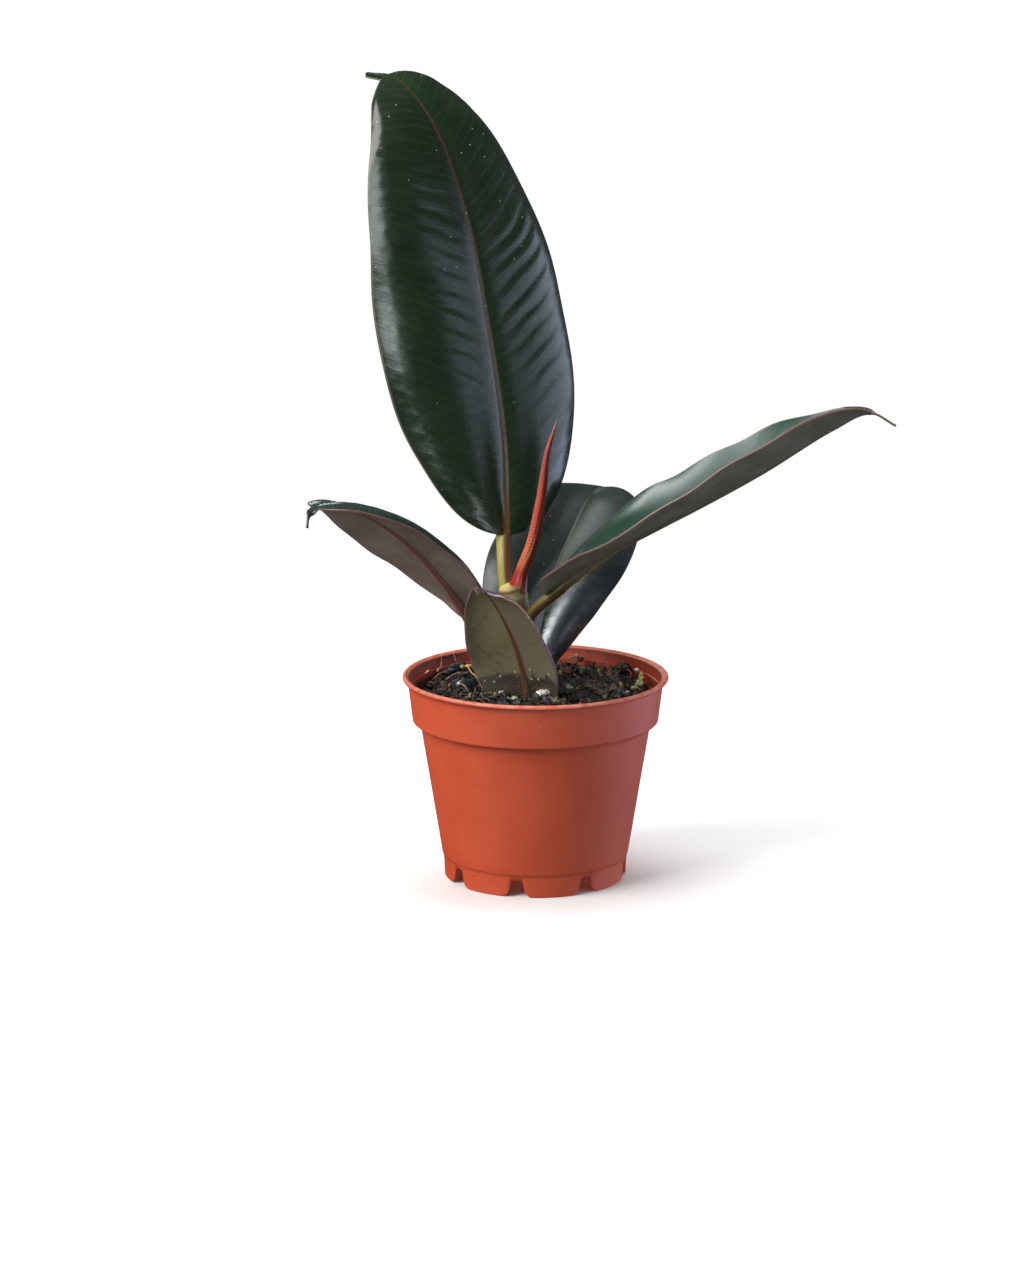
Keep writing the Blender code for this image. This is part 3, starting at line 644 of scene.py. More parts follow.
def crack_distance(leaf, sheet):
    """Distance to the nearest of the leaf's fine dark lines, in millimetres."""
    nearest = np.full(sheet.shape[:2], 9.0)
    for crack in leaf.cracks:
        for start, end in zip(crack[:-1], crack[1:]):
            start, way = np.array(start), np.subtract(end, start)
            share = np.clip((sheet[:, :, :2] - start) @ way / (way @ way), 0, 1)
            gap = np.linalg.norm(sheet[:, :, :2] - start - share[:, :, None] * way, axis=-1)
            nearest = np.minimum(nearest, gap)
    return stacked(nearest.shape, nearest, nearest, nearest)


class BladeFinish(Finish):
    """A blade's material, with what is stored at its points and the lines of its side veins."""

    def __init__(self, name):
        super().__init__(name)
        self.sheet, self.out, self.run, _ = self.stored("blade")
        _, self.across, self.along, self.upper = self.stored("look")
        self.off = self.calc("ABSOLUTE", self.out)
        self.veins = self.vein_lines()

    def vein_lines(self):
        """Thin lines at the side veins, from the millimetres stored at the points."""
        wander = self.times(self.calc("SUBTRACT", self.noise(self.sheet, 0.11, 1.0), 0.5), 2.6)
        straight = self.calc("MULTIPLY_ADD", self.off, -VEIN_SLANT, self.run)
        phase = self.calc("DIVIDE", self.calc("ADD", straight, wander), VEIN_SPACING)
        return self.step(self.away(self.calc("FRACT", phase), 0.5), 0.40, 0.49)

    def rib(self, half_base, half_tip, edge, core):
        """A band along the midrib, from its half widths at the base and at the tip."""
        half = self.step(self.along, 0.0, 0.95, half_base, half_tip)
        return self.step(self.calc("DIVIDE", self.off, half), edge, core)


def upper_color(look, leaf):
    """Dark green with fine veins, a deeper green band right of the midrib that is painted shade, the midrib
    itself and specks.
    """
    patches = look.step(look.noise(look.sheet, 0.12, 3.0), 0.35, 0.7)
    look.color = look.mix(patches, leaf.upper, shade(leaf.upper, 1.5, 1.25, 1.3))
    # painted shade: a deeper green band just right of the midrib, where the fold reflects no sheen
    look.coat(shade(leaf.upper, 0.9, 1.5, 1.1), look.step(look.away(look.out, 1.6), 2.4, 0.4), 0.55)
    look.coat((0.075, 0.11, 0.07), look.veins, 0.10)
    tint = look.mix(look.step(look.along, 0.02, 0.14), (0.12, 0.060, 0.014), (0.13, 0.105, 0.082))
    tint = look.mix(look.step(look.along, 0.3, 0.75), tint, (0.085, 0.040, 0.026))
    look.coat(tint, look.rib(0.74, 0.24, 1.6, 0.7), look.step(look.along, 1.0, 0.8), leaf.rib_line)
    look.coat(leaf.margin, look.step(look.across, 0.984, 0.998), 0.6)
    specks = look.specks(look.sheet, 3.1, 0.17, 0.10, "2D")
    look.coat((0.60, 0.64, 0.58), specks, look.step(look.along, 0.30, 0.62, 0.35, 1.0), 0.9)
    return look.color


def under_color(look, leaf):
    """Olive to pinkish, finely mottled, with the ridge, the side veins and the margin's vein."""
    mottle = look.noise(look.sheet, 1.6, 4.0, 0.65)
    patches = look.step(look.noise(look.sheet, 0.10, 2.0), 0.35, 0.65)
    look.color = look.mix(patches, shade(leaf.under, 0.85, 0.82, 0.8), shade(leaf.under, 1.12, 1.15, 1.2))
    if leaf.under_left:
        look.coat(leaf.under_left, look.step(look.out, 0.3, -0.3))
    look.coat(shade(leaf.under, 0.6, 0.6, 0.55), look.step(mottle, 0.45, 0.75, 0.0, 0.35))
    look.coat(leaf.margin, look.veins, 0.15)
    look.coat(shade(leaf.under, 0.35, 0.28, 0.3), look.step(look.away(look.across, 0.90), 0.014, 0.004), 0.30)
    kept = look.step(look.along, leaf.rib_keep + 0.08, leaf.rib_keep)
    look.coat(leaf.rib_under, look.rib(0.9 * leaf.petiole_radius, 0.3, 1.0, 0.5), kept, 0.8)
    _, crack, _, _ = look.stored("cracks")
    look.coat((0.020, 0.012, 0.009), look.step(crack, 0.16, 0.04, 0.0, 0.75), look.step(mottle, 0.35, 0.5))
    # painted sheen: a bluish band painted along the left margin's underside, fading out towards the tip
    if leaf.rolled:
        band = look.times(look.step(look.across, 0.84, 0.92), look.step(look.out, 0.0, -1.0))
        look.coat(leaf.rolled, band, look.step(look.along, 0.82, 0.62), 0.8)
    look.coat(leaf.margin, look.step(look.across, 0.972, 0.990), 0.75)
    if leaf.stain:
        splash_soil(look, leaf.stain)
    return look.color


def splash_soil(look, reach):
    """Dried soil splashed up the underside: a ragged dark edge, gritty below, with pale dots."""
    ragged = look.calc("MULTIPLY_ADD", look.noise(look.sheet, 0.55, 5.0, 0.75), 0.24, look.along)
    grit = look.step(look.noise(look.sheet, 1.6, 4.0, 0.7), 0.42, 0.66)
    soil = look.mix(grit, (0.013, 0.008, 0.005), (0.100, 0.062, 0.020))
    rim = look.times(look.step(look.away(ragged, reach - 0.015), 0.040, 0.010), 0.8)
    soil = look.mix(rim, soil, (0.014, 0.010, 0.007))
    look.coat(soil, look.step(ragged, reach + 0.035, reach - 0.015), 0.95)
    dots = look.specks(look.sheet, 1.9, 0.36, 0.20, "2D")
    look.coat((0.52, 0.45, 0.33), dots, look.step(look.along, 0.36, 0.30), 0.9)


def blade_finish(name, leaf):
    """Glossy above and matt below, with relief from the side veins and the leaf's grain."""
    look = BladeFinish(name)
    side = look.step(look.upper, 0.35, 0.65)
    under = under_color(look, leaf)
    look.color = look.mix(side, under, upper_color(look, leaf))
    fine = look.noise(look.sheet, 2.6, 3.0, 0.6)
    relief = look.bump(look.veins, -0.008 * leaf.grain)
    relief = look.bump(look.noise(look.sheet, 0.6, 2.0), 0.012 * leaf.grain, relief)
    relief = look.bump(fine, 0.005 * leaf.grain, relief)
    uneven = 0.035 * leaf.grain
    glossy = look.step(look.noise(look.sheet, 0.5, 3.0), 0.3, 0.7, 0.255 - uneven, 0.255 + uneven)
    glossy = look.calc("ADD", glossy, look.step(look.along, 0.15, 0.50, 0.0, leaf.dull))
    matte = look.step(fine, 0.3, 0.7, 0.50, 0.62)
    return look.finish(look.add("Mix", {0: side, 2: matte, 3: glossy}, 0, data_type="FLOAT"), relief)


def stalk_finish(name, leaf):
    """The petiole's sides, partly its own yellow-green and brown and partly painted light on the left and
    painted shade on the right, which turns into the ridge's colour under the blade.
    """
    look = Finish(name)
    _, turned, run, ridge = look.stored("stalk")
    _, crest, _, _ = look.stored("crest")
    ridge_color = look.mix(look.step(crest, 0.35, 0.85), leaf.under, leaf.rib_under)
    faded = look.step(run, leaf.rib_keep - 0.12, leaf.rib_keep + 0.05)
    ridge_color = look.mix(faded, ridge_color, leaf.under)
    streaks = look.streaks((1400.0, 1400.0, 260.0))
    # painted light and shade: the petiole lighter on its left and darker on its right, partly its own colours
    look.color = look.mix(look.step(turned, -0.3, 0.6), leaf.stalk_shade_side, leaf.stalk_lit_side)
    look.coat(leaf.stalk_shade_side, look.step(streaks, 0.4, 0.75, 0.0, 0.35))
    look.coat(ridge_color, look.step(ridge, 0.1, 0.9))
    look.coat(leaf.under, look.step(run, 0.7, 1.0, 0.0, 0.6))
    return look.finish(look.step(streaks, 0.3, 0.8, 0.36, 0.5), look.bump(streaks, 0.05), 0.45)


def stalk_piece(name, leaf):
    """The petiole, swollen where it leaves the stem, and the ridge that it becomes."""
    end = 0.99 - leaf.drip
    shares = np.linspace(leaf.joint, end, RIDGE_ROWS)
    thick = np.interp(shares, (leaf.joint, 0.2, 0.5, end), leaf.petiole_radius * np.array(RIDGE_THINNING))
    middle, _, normal, _ = rib_frame(leaf, shares)
    sunk = np.maximum(thick + 0.08, BLADE_THICKNESS + 0.25 * thick) + 0.8 * valley_depth(leaf, shares)
    ridge = middle - normal * sunk[:, None]
    start = along_curve(smooth_curve(leaf.petiole + [tuple(ridge[0])]), np.linspace(0, 0.97, PETIOLE_ROWS))
    axis = smooth_rows(np.concatenate([start, ridge]), 5, PETIOLE_ROWS)
    way = np.linspace(0, 1, PETIOLE_ROWS)
    foot = 1 + 0.22 * np.exp(-6 * way) + 0.10 * smooth_step(0.7, 1.0, way)
    radii = np.concatenate([leaf.petiole_radius * foot, thick * (1 + 0.10 * np.exp(-shares * 60))])
    points, turn = tube_points(axis, radii, PETIOLE_SIDES)
    run = np.concatenate([0 * way, shares])[:, None]
    away = -np.concatenate([np.repeat(normal[:1], PETIOLE_ROWS, axis=0), normal])
    crest = np.sum(unit(points - axis[:, None]) * away[:, None], axis=-1)
    return piece(name, points, ring_faces(*points.shape[:2]), stalk_finish(name, leaf),
                 {"stalk": stacked(crest.shape, np.cos(turn), run, 8 * run),
                  "crest": stacked(crest.shape, crest, crest, crest)})


def smooth_rows(axis, rounds, around):
    """Eases the bend where the petiole meets the blade."""
    axis = axis.copy()
    low, high = around - 8, around + 8
    for _ in range(rounds):
        axis[low:high] = (axis[low - 1:high - 1] + 2 * axis[low:high] + axis[low + 1:high + 1]) / 4
    return axis


def make_leaf(number, name, leaf):
    slot_name = "leaf_young" if name in ("leaf_left", "leaf_front") else "leaf_green"
    stands_for(blade_piece(name + "_blade", leaf, Blade(leaf, number)), slot_name, name)
    stands_for(stalk_piece(name + "_stalk", leaf), slot_name, name)


# Pot

def arc(centre, radius, start, end, steps):
    """Points of an arc, with angles in degrees."""
    angles = np.radians(np.linspace(start, end, steps))
    return [(centre[0] + radius * math.cos(a), centre[1] + radius * math.sin(a)) for a in angles]


def line(start, end, steps):
    """Points from start up to, but not with, end."""
    return [(start[0] + (end[0] - start[0]) * k / steps, start[1] + (end[1] - start[1]) * k / steps)
            for k in range(steps)]


def outer_profile():
    """Ledge, body, collar and lip, then down the inside to the floor."""
    mouth = COLLAR_TOP_RADIUS - POT_WALL
    throat = COLLAR_FOOT_RADIUS - POT_WALL
    top = POT_HEIGHT - INNER_STEP
    brim = POT_HEIGHT - LIP_HEIGHT - LIP_FILLET
    profile = [(FOOT_RADIUS + 0.25, LEDGE - 0.9), (FOOT_RADIUS + 0.32, LEDGE - 0.25),
               (FOOT_RADIUS + 0.5, LEDGE - 0.05), (BODY_FOOT_RADIUS - 0.05, LEDGE + 0.05)]
    profile += line((BODY_FOOT_RADIUS, LEDGE + 0.3), (BODY_TOP_RADIUS, BODY_TOP), 24)
    profile += [(BODY_TOP_RADIUS, BODY_TOP - 0.1), (BODY_TOP_RADIUS + 0.12, BODY_TOP)]
    profile += [(COLLAR_FOOT_RADIUS + out, COLLAR_FOOT + up)
                for out, up in ((-0.2, -0.25), (-0.05, -0.15), (0.0, 0.05))]
    profile += line((COLLAR_FOOT_RADIUS + 0.02, COLLAR_FOOT + 0.3), (COLLAR_TOP_RADIUS - 0.08, brim), 8)
    profile += arc((COLLAR_TOP_RADIUS + 0.3, brim), LIP_FILLET, 180, 110, 5)
    profile += arc((LIP_RADIUS - LIP_ROLL, POT_HEIGHT - LIP_ROLL), LIP_ROLL, -50, 150, 14)
    profile += [(LIP_RADIUS - LIP_WIDTH, POT_HEIGHT - 0.5)]
    profile += [(mouth + out, top + up) for out, up in ((0.05, 0.35), (0.0, 0.05), (-0.3, -0.12))]
    profile += line((mouth - 0.32, top - 0.4), (throat, INNER_LEDGE[1]), 6)
    profile += [(throat, INNER_LEDGE[1]), (BODY_TOP_RADIUS - POT_WALL, INNER_LEDGE[0])]
    return profile + [(BODY_FOOT_RADIUS - POT_WALL, FLOOR_TOP), (AXIS_GAP, FLOOR_TOP)]


def inner_profile():
    """From the axis out along the underside to the inside of the foot ring."""
    return [(AXIS_GAP, 0.0), (HUB_RADIUS - 0.3, 0.0), (HUB_RADIUS, 0.3), (HUB_RADIUS, FLOOR_BOTTOM),
            (FOOT_RADIUS - 1.4 * POT_WALL, FLOOR_BOTTOM), (FOOT_RADIUS - 1.45 * POT_WALL, FLOOR_BOTTOM - 0.3)]


def pot_angles():
    """Angles round the pot: close together at the notches, wider between them."""
    sector = 2 * math.pi / NOTCHES
    fine = sorted({round(s * x / FOOT_RADIUS, 5) for s in (-1, 1) for x in np.linspace(0, 3.7, 20)})
    coarse = np.linspace(max(fine), sector + min(fine), 17)[1:-1]
    return [math.radians(NOTCH_FIRST) + k * sector + a for k in range(NOTCHES) for a in [*fine, *coarse]]


def foot_height(angle):
    """Height of the foot ring's lower edge: notches with flared sides between rounded feet."""
    sector = 2 * math.pi / NOTCHES
    off = (angle - math.radians(NOTCH_FIRST) + sector / 2) % sector - sector / 2
    distances, heights = zip(*NOTCH_OUTLINE)
    return float(np.interp(abs(off) * FOOT_RADIUS, distances, heights))


def pot_piece():
    """A turned shell whose foot ring follows foot_height."""
    angles = pot_angles()
    rows = [[(radius, z)] * len(angles) for radius, z in inner_profile()]
    edges = [foot_height(a) for a in angles]
    inner_top, outer_top = inner_profile()[-1][1], outer_profile()[0][1]
    for share in (0.35, 0.7, 1.0):
        radius = FOOT_RADIUS - 1.5 * POT_WALL
        rows.append([(radius, inner_top + (e + 0.15 - inner_top) * share) for e in edges])
    rows.append([(FOOT_RADIUS - 1.3 * POT_WALL, e) for e in edges])
    rows.append([(FOOT_RADIUS - 0.25 * POT_WALL, e) for e in edges])
    for share in (1.0, 0.8, 0.55, 0.3):
        radius = FOOT_RADIUS + 0.2 * (1 - share)
        rows.append([(radius, outer_top + (e + 0.15 - outer_top) * share) for e in edges])
    rows += [[(radius, z)] * len(angles) for radius, z in outer_profile()]
    points = [(r * math.cos(a), r * math.sin(a), z) for row in rows for (r, z), a in zip(row, angles)]
    pot = piece("pot_shell", points, ring_faces(len(rows), len(angles)), pot_finish())
    drill_drains(pot)
    pot.data.set_sharp_from_angle(angle=math.radians(SHARP_ANGLE))
    return pot


def drill_drains(pot):
    """Eight round holes through the floor."""
    group = bpy.data.collections.new("drains")
    for k in range(NOTCHES):
        angle = math.radians(NOTCH_FIRST + 360.0 / NOTCHES * k)
        x, y = DRAIN_CIRCLE * math.cos(angle), DRAIN_CIRCLE * math.sin(angle)
        axis = [(x, y, z) for z in (FLOOR_BOTTOM - 1, FLOOR_TOP + 1)]
        points, _ = tube_points(axis, DRAIN_RADIUS, DRAIN_SIDES)
        cutter = piece("drain", points, ring_faces(2, DRAIN_SIDES), pot.data.materials[0])
        bpy.context.scene.collection.objects.unlink(cutter)
        group.objects.link(cutter)
    cut = pot.modifiers.new("drains", "BOOLEAN")
    cut.operation = "DIFFERENCE"
    cut.operand_type = "COLLECTION"
    cut.collection = group
    result = bpy.data.meshes.new_from_object(pot.evaluated_get(bpy.context.evaluated_depsgraph_get()))
    pot.modifiers.clear()
    pot.data = result
    for cutter in list(group.objects):
        bpy.data.objects.remove(cutter)
    bpy.data.collections.remove(group)


def pot_finish():
    """Satin moulded plastic with faint flow marks, a patchy painted highlight on the lip, and painted shade
    inside, partly dirt.
    """
    look = Finish("terracotta_plastic")
    place = look.place()
    cloudy = look.noise(place, 70.0, 3.0)
    look.color = look.mix(look.step(cloudy, 0.3, 0.7), (0.57, 0.072, 0.022), (0.62, 0.084, 0.027))
    flow = look.streaks((60.0, 60.0, 1500.0), 2.0)
    look.coat((0.42, 0.045, 0.015), look.step(flow, 0.55, 0.75, 0.0, 0.10))
    east, _, up = look.node("SeparateXYZ", {0: place}).outputs
    height = look.calc("DIVIDE", up, MM)
    radius = look.calc("DIVIDE", look.length(look.stretched(place, (1.0, 1.0, 0.0))), MM)
    lip = look.step(height, POT_HEIGHT - 0.9, POT_HEIGHT - 0.3)
    lip_highlight_patches = look.step(look.noise(place, 500.0, 5.0, 0.75), 0.35, 0.65, 0.05, 0.8)
    # painted highlight: the lip painted lighter and pinkish, in patches
    look.coat((0.66, 0.27, 0.19), lip, lip_highlight_patches)
    # Painted shade inside, partly dirt: darker just under the lip, towards the soil and to the left, mottled.
    # The wall's inner face lies within this cone, its outer face outside it
    inward = look.calc("MULTIPLY_ADD", height, -0.115, radius)
    inside = look.times(look.step(inward, 23.5, 23.3), look.step(height, 38.0, 39.0))
    shaded = look.step(height, POT_HEIGHT - 1.9, POT_HEIGHT - 0.8, 0.40, 1.0)
    deep = look.calc("MAXIMUM", shaded, look.step(height, SOIL_EDGE + 2.6, SOIL_EDGE + 1.0, 0.45, 1.0))
    shade_and_dirt_mottle = look.calc("MULTIPLY_ADD", look.step(look.noise(place, 500.0, 4.0, 0.7), 0.35, 0.7), 0.6, 0.5)
    leftward = look.step(east, 0.018, -0.004, 0.62, 1.0)
    # painted shade, partly dirt, on the inner wall
    look.coat((0.045, 0.011, 0.008), inside, deep, shade_and_dirt_mottle, leftward)
    spots = look.stretched(place, (1000.0,) * 3)
    look.coat((0.02, 0.010, 0.008), look.specks(spots, 3.4, 0.24, 0.25), 0.8)
    look.coat((0.66, 0.40, 0.32), look.specks(spots, 2.2, 0.14, 0.40), 0.5)
    look.coat((0.70, 0.52, 0.44), look.specks(spots, 1.3, 0.24, 0.35), lip, 0.8)
    look.coat((0.05, 0.020, 0.012), look.specks(spots, 1.7, 0.30, 0.20), lip, 0.8)
    relief = look.bump(look.noise(place, 1800.0, 2.0), 0.008, look.bump(flow, 0.03))
    return look.finish(look.step(cloudy, 0.3, 0.7, 0.48, 0.56), relief)


# Soil

TONES = {
    "black": (0.006, 0.005, 0.006), "peat": (0.018, 0.011, 0.009), "brown": (0.055, 0.026, 0.014),
    "red": (0.120, 0.036, 0.024), "slate": (0.034, 0.042, 0.050), "jet": (0.010, 0.012, 0.020),
    "moss": (0.028, 0.048, 0.012), "olive": (0.160, 0.150, 0.055), "yellow": (0.46, 0.38, 0.09),
    "pale_green": (0.36, 0.40, 0.22), "tan": (0.52, 0.30, 0.12), "pink": (0.50, 0.28, 0.22),
    "straw": (0.34, 0.21, 0.12), "white": (0.74, 0.72, 0.68),
}
CRUMB_TONES = ["black"] * 10 + ["peat"] * 8 + ["brown", "brown", "red", "slate", "slate", "moss", "straw"]
FIBRE_TONES = ["brown", "brown", "red", "peat", "slate", "straw", "moss", "olive", "tan", "pink"]

# Bits on the soil: place, length, width and thickness, tone, and for some heading and lean in degrees
BITS = [
    ((-18.6, 16.6, 43.6), (5.4, 3.2, 2.2), "jet", 20, 14),
    ((-14.9, 3.0, 43.1), (4.4, 3.8, 2.2), "jet", -38, -22),
    ((-15.4, 13.6, 45.0), (1.5, 1.1, 0.9), "tan", 10, 0),
    ((-16.6, 13.8, 44.8), (1.1, 0.9, 0.8), "yellow"),
    ((-16.6, 4.6, 43.7), (1.4, 0.9, 0.8), "pink", 50, 10),
    ((-17.3, 3.6, 43.4), (1.1, 0.8, 0.7), "white"),
    ((-15.8, 12.4, 43.6), (1.4, 1.0, 0.8), "slate", 0, 20),
    ((-24.0, 8.6, 42.2), (1.2, 0.8, 0.6), "white"),
    ((-14.3, -5.4, 42.9), (1.9, 1.2, 0.9), "olive", 30, 0),
    ((-8.0, -0.6, 43.5), (1.5, 0.9, 0.8), "pale_green", 10, 0),
    ((-7.7, -4.8, 43.4), (1.7, 1.1, 0.9), "white", 35, 10),
    ((-6.6, -9.6, 43.2), (1.8, 0.9, 0.8), "white", 5, 0),
    ((-4.8, -9.9, 43.3), (1.6, 1.0, 0.8), "pale_green", -20, 10),
    ((-24.6, 9.0, 44.7), (1.2, 0.9, 0.7), "pink", 0, 40),
    ((-22.2, 12.5, 44.4), (1.1, 0.6, 0.5), "pale_green", 60, 40),
    ((4.7, -11.8, 43.3), (2.2, 1.7, 1.1), "olive", 10, 0),
    ((6.2, -11.0, 43.1), (1.5, 1.1, 0.9), "pale_green", 30, 0),
    ((7.6, -0.2, 43.3), (1.9, 0.9, 0.8), "pale_green", -10, 0),
    ((9.4, -0.8, 43.2), (0.8, 0.6, 0.6), "yellow"),
    ((8.4, 23.6, 44.4), (1.3, 1.0, 1.2), "tan"),
    ((9.6, 23.8, 45.0), (1.2, 0.9, 0.9), "pink"),
    ((10.6, 23.6, 44.2), (1.6, 1.4, 1.3), "brown"),
    ((9.2, 23.0, 43.4), (1.2, 1.0, 0.9), "red"),
    ((10.2, 17.6, 43.2), (2.7, 1.6, 0.9), "olive", -10, 25),
    ((14.8, 18.0, 42.8), (0.9, 0.8, 1.1), "olive"),
    ((20.6, 15.8, 44.0), (3.2, 2.6, 2.6), "peat", 25, -20),
    ((18.9, 16.8, 43.6), (2.2, 1.8, 1.7), "moss"),
    ((23.3, 12.6, 44.2), (1.3, 1.1, 1.1), "white"),
    ((24.0, 6.9, 43.6), (1.6, 1.4, 1.9), "yellow"),
    ((23.6, 5.6, 42.8), (1.9, 1.5, 1.6), "pale_green"),
    ((22.4, 3.2, 42.3), (1.6, 1.3, 1.0), "yellow"),
    ((24.2, 9.4, 44.2), (0.9, 0.8, 0.9), "tan"),
    ((19.4, 3.6, 42.9), (0.9, 1.0, 1.6), "yellow", 0, 20),
    ((13.0, 2.7, 43.1), (4.4, 0.8, 0.6), "red", 12, 0),
    ((13.9, -1.0, 43.1), (3.0, 1.2, 0.8), "brown"),
    ((16.4, 2.9, 43.0), (2.2, 1.4, 1.0), "moss"),
    ((14.8, -3.2, 42.9), (1.2, 0.8, 0.7), "pale_green"),
    ((20.8, -1.6, 42.5), (0.8, 0.6, 1.0), "white"),
    ((8.6, -5.6, 43.1), (1.4, 1.0, 0.8), "brown", 20, 0),
]
PERLITE = [((1.0, -9.4, 44.1), 1.15), ((2.5, -9.6, 44.4), 0.95), ((1.8, -10.0, 43.6), 0.8)]

FIBRE_TAPER = (0.55, 0.85, 1.0, 1.0, 1.0, 0.95, 0.85, 0.65, 0.35)

# Roots and threads: points along each, radius, tone
ROOTS = [
    ([(-15.6, 14.0, 45.2), (-14.6, 8.0, 44.9), (-13.4, 3.6, 44.9), (-11.8, -1.6, 43.2)], 0.17, "tan"),
    ([(-17.5, 4.2, 43.4), (-16.2, 0.8, 43.6), (-15.0, -3.0, 43.0)], 0.14, "straw"),
    ([(-23.6, 9.6, 42.6), (-22.2, 11.8, 43.4), (-20.4, 14.6, 43.8)], 0.12, "tan"),
    ([(-20.4, 8.5, 43.0), (-18.6, 10.6, 43.8), (-16.6, 11.6, 44.2)], 0.12, "pink"),
    ([(-21.6, 14.2, 44.0), (-21.5, 14.2, 45.6), (-21.5, 14.0, 47.3)], 0.11, "pink"),
    ([(-18.0, 14.6, 45.4), (-18.4, 14.6, 46.8), (-18.7, 14.4, 48.0)], 0.11, "pink"),
    ([(18.3, 13.4, 42.9), (19.6, 15.0, 43.6), (21.0, 14.6, 44.0), (22.0, 12.6, 43.6), (21.6, 10.7, 42.8)],
     0.12, "straw"),
    ([(10.6, -5.8, 43.2), (12.4, -6.6, 43.5), (14.2, -5.6, 43.4), (15.6, -6.4, 42.8)], 0.11, "slate"),
    ([(8.6, -7.6, 43.0), (11.0, -8.0, 43.4), (13.6, -7.4, 43.1)], 0.10, "slate"),
    ([(-15.8, -6.9, 42.8), (-13.6, -9.0, 43.3), (-11.3, -11.8, 42.8)], 0.12, "straw"),
    ([(-12.6, -6.4, 42.9), (-10.4, -8.8, 43.4), (-7.4, -9.6, 42.9)], 0.11, "red"),
    ([(8.6, 4.6, 43.0), (11.4, 5.6, 43.6), (13.8, 5.0, 43.2)], 0.10, "slate"),
    ([(-2.6, -7.4, 47.4), (-2.2, -8.2, 45.6), (-2.4, -9.4, 43.2)], 0.13, "brown"),
    ([(0.4, -7.6, 47.6), (1.2, -8.2, 45.8), (0.4, -9.8, 43.2)], 0.13, "olive"),
    ([(2.2, -7.4, 47.0), (3.2, -8.2, 45.4), (4.4, -9.8, 43.0)], 0.13, "brown"),
    ([(3.4, -7.2, 45.6), (4.2, -8.0, 44.6), (5.2, -9.6, 43.0)], 0.12, "olive"),
]


def soil_height(x, y):
    """Height of the soil's surface: mounded to the middle, uneven, banked at the back."""
    share = min(1.0, math.hypot(x, y) / SOIL_RADIUS)
    bank = SOIL_BANK * max(0.0, y / SOIL_RADIUS) * share
    place = Vector((x, y, SOIL_SEED)) / SOIL_BUMP_SPACING
    bump = noise.noise(place) + 0.5 * noise.noise(place * 2.3)
    fade = 1.0 - share ** 6
    return SOIL_CROWN + (SOIL_EDGE - SOIL_CROWN) * share ** 2 + bank + SOIL_BUMP * bump * fade


def soil_bed():
    """The soil's rough surface, with a skirt that runs down inside the wall."""
    rings, segments = 70, 240
    turn = np.linspace(0, 2 * math.pi, segments, endpoint=False)
    points = []
    for z in (SOIL_EDGE - 3.0, SOIL_EDGE - 1.5):
        points += [((SOIL_RADIUS - 0.3) * math.cos(a), (SOIL_RADIUS - 0.3) * math.sin(a), z) for a in turn]
    for share in np.linspace(1.0, 0.01, rings):
        for a in turn:
            x, y = SOIL_RADIUS * share * math.cos(a), SOIL_RADIUS * share * math.sin(a)
            rough = 0.5 * noise.noise(Vector((x, y, 1.0)) * 1.1)
            rough += 0.3 * noise.noise(Vector((x, y, 4.0)) * 2.7)
            points.append((x, y, soil_height(x, y) + rough - 0.3))
    return joined("soil_bed", [(points, ring_faces(rings + 2, segments), TONES["peat"])], 0.6)


def soil_finish(name, roughness):
    """Moist and crumbly: the tint stored at the points, lighter and darker from grain to grain."""
    look = Finish(name)
    tint, _, _, _ = look.stored("tint")
    grain = look.noise(look.place(), 1400.0, 4.0, 0.7)
    dark, light = (look.stretched(tint, (scale,) * 3) for scale in (0.45, 1.5))
    look.color = look.mix(look.step(grain, 0.35, 0.68), dark, light)
    return look.finish(roughness, look.bump(grain, 0.2))


def joined(name, parts, roughness):
    """One piece from many small meshes, each given as its points, its faces and its tint."""
    points, faces, tints = [], [], []
    base = 0
    for corners, shape, tint in parts:
        points.append(corners)
        faces += [tuple(base + k for k in face) for face in shape]
        tints.append(np.full((len(corners), 3), tint))
        base += len(corners)
    return piece(name, np.concatenate(points), faces, soil_finish(name, roughness),
                 {"tint": np.concatenate(tints)})


def lump_shape(detail):
    """Points and faces of a ball that the lumps are made from."""
    mesh = bmesh.new()
    bmesh.ops.create_icosphere(mesh, subdivisions=detail, radius=1.0)
    corners = np.array([v.co[:] for v in mesh.verts])
    faces = [tuple(v.index for v in face.verts) for face in mesh.faces]
    mesh.free()
    return corners, faces


def lying(heading, lean, roll):
    """The rotation of a bit that lies along a heading, leans up and is rolled, in degrees."""
    turn = Matrix.Rotation(math.radians(heading), 3, "Z") @ Matrix.Rotation(math.radians(-lean), 3, "Y")
    return np.array(turn @ Matrix.Rotation(math.radians(roll), 3, "X"))


def lumps(name, places, detail, roughness, draw, rough):
    """Many irregular lumps in one piece; each place holds a centre, three sizes, a turn and a tone."""
    corners, shape = lump_shape(detail)
    parts = []
    for centre, sizes, turn, tone in places:
        swell = 1 + rough * noise_at(corners, 0.8, draw.uniform(0, 100))
        form = (corners * swell[:, None] * np.array(sizes) / 2) @ turn.T + centre
        parts.append((form, shape, np.array(TONES[tone]) * draw.uniform(0.7, 1.3)))
    return joined(name, parts, roughness)


def on_soil(draw, margin):
    """A random place on the soil, at least this far from the wall."""
    angle = draw.uniform(0, 2 * math.pi)
    far = math.sqrt(draw.random()) * (SOIL_RADIUS + 0.2 - margin)
    return far * math.cos(angle), far * math.sin(angle)


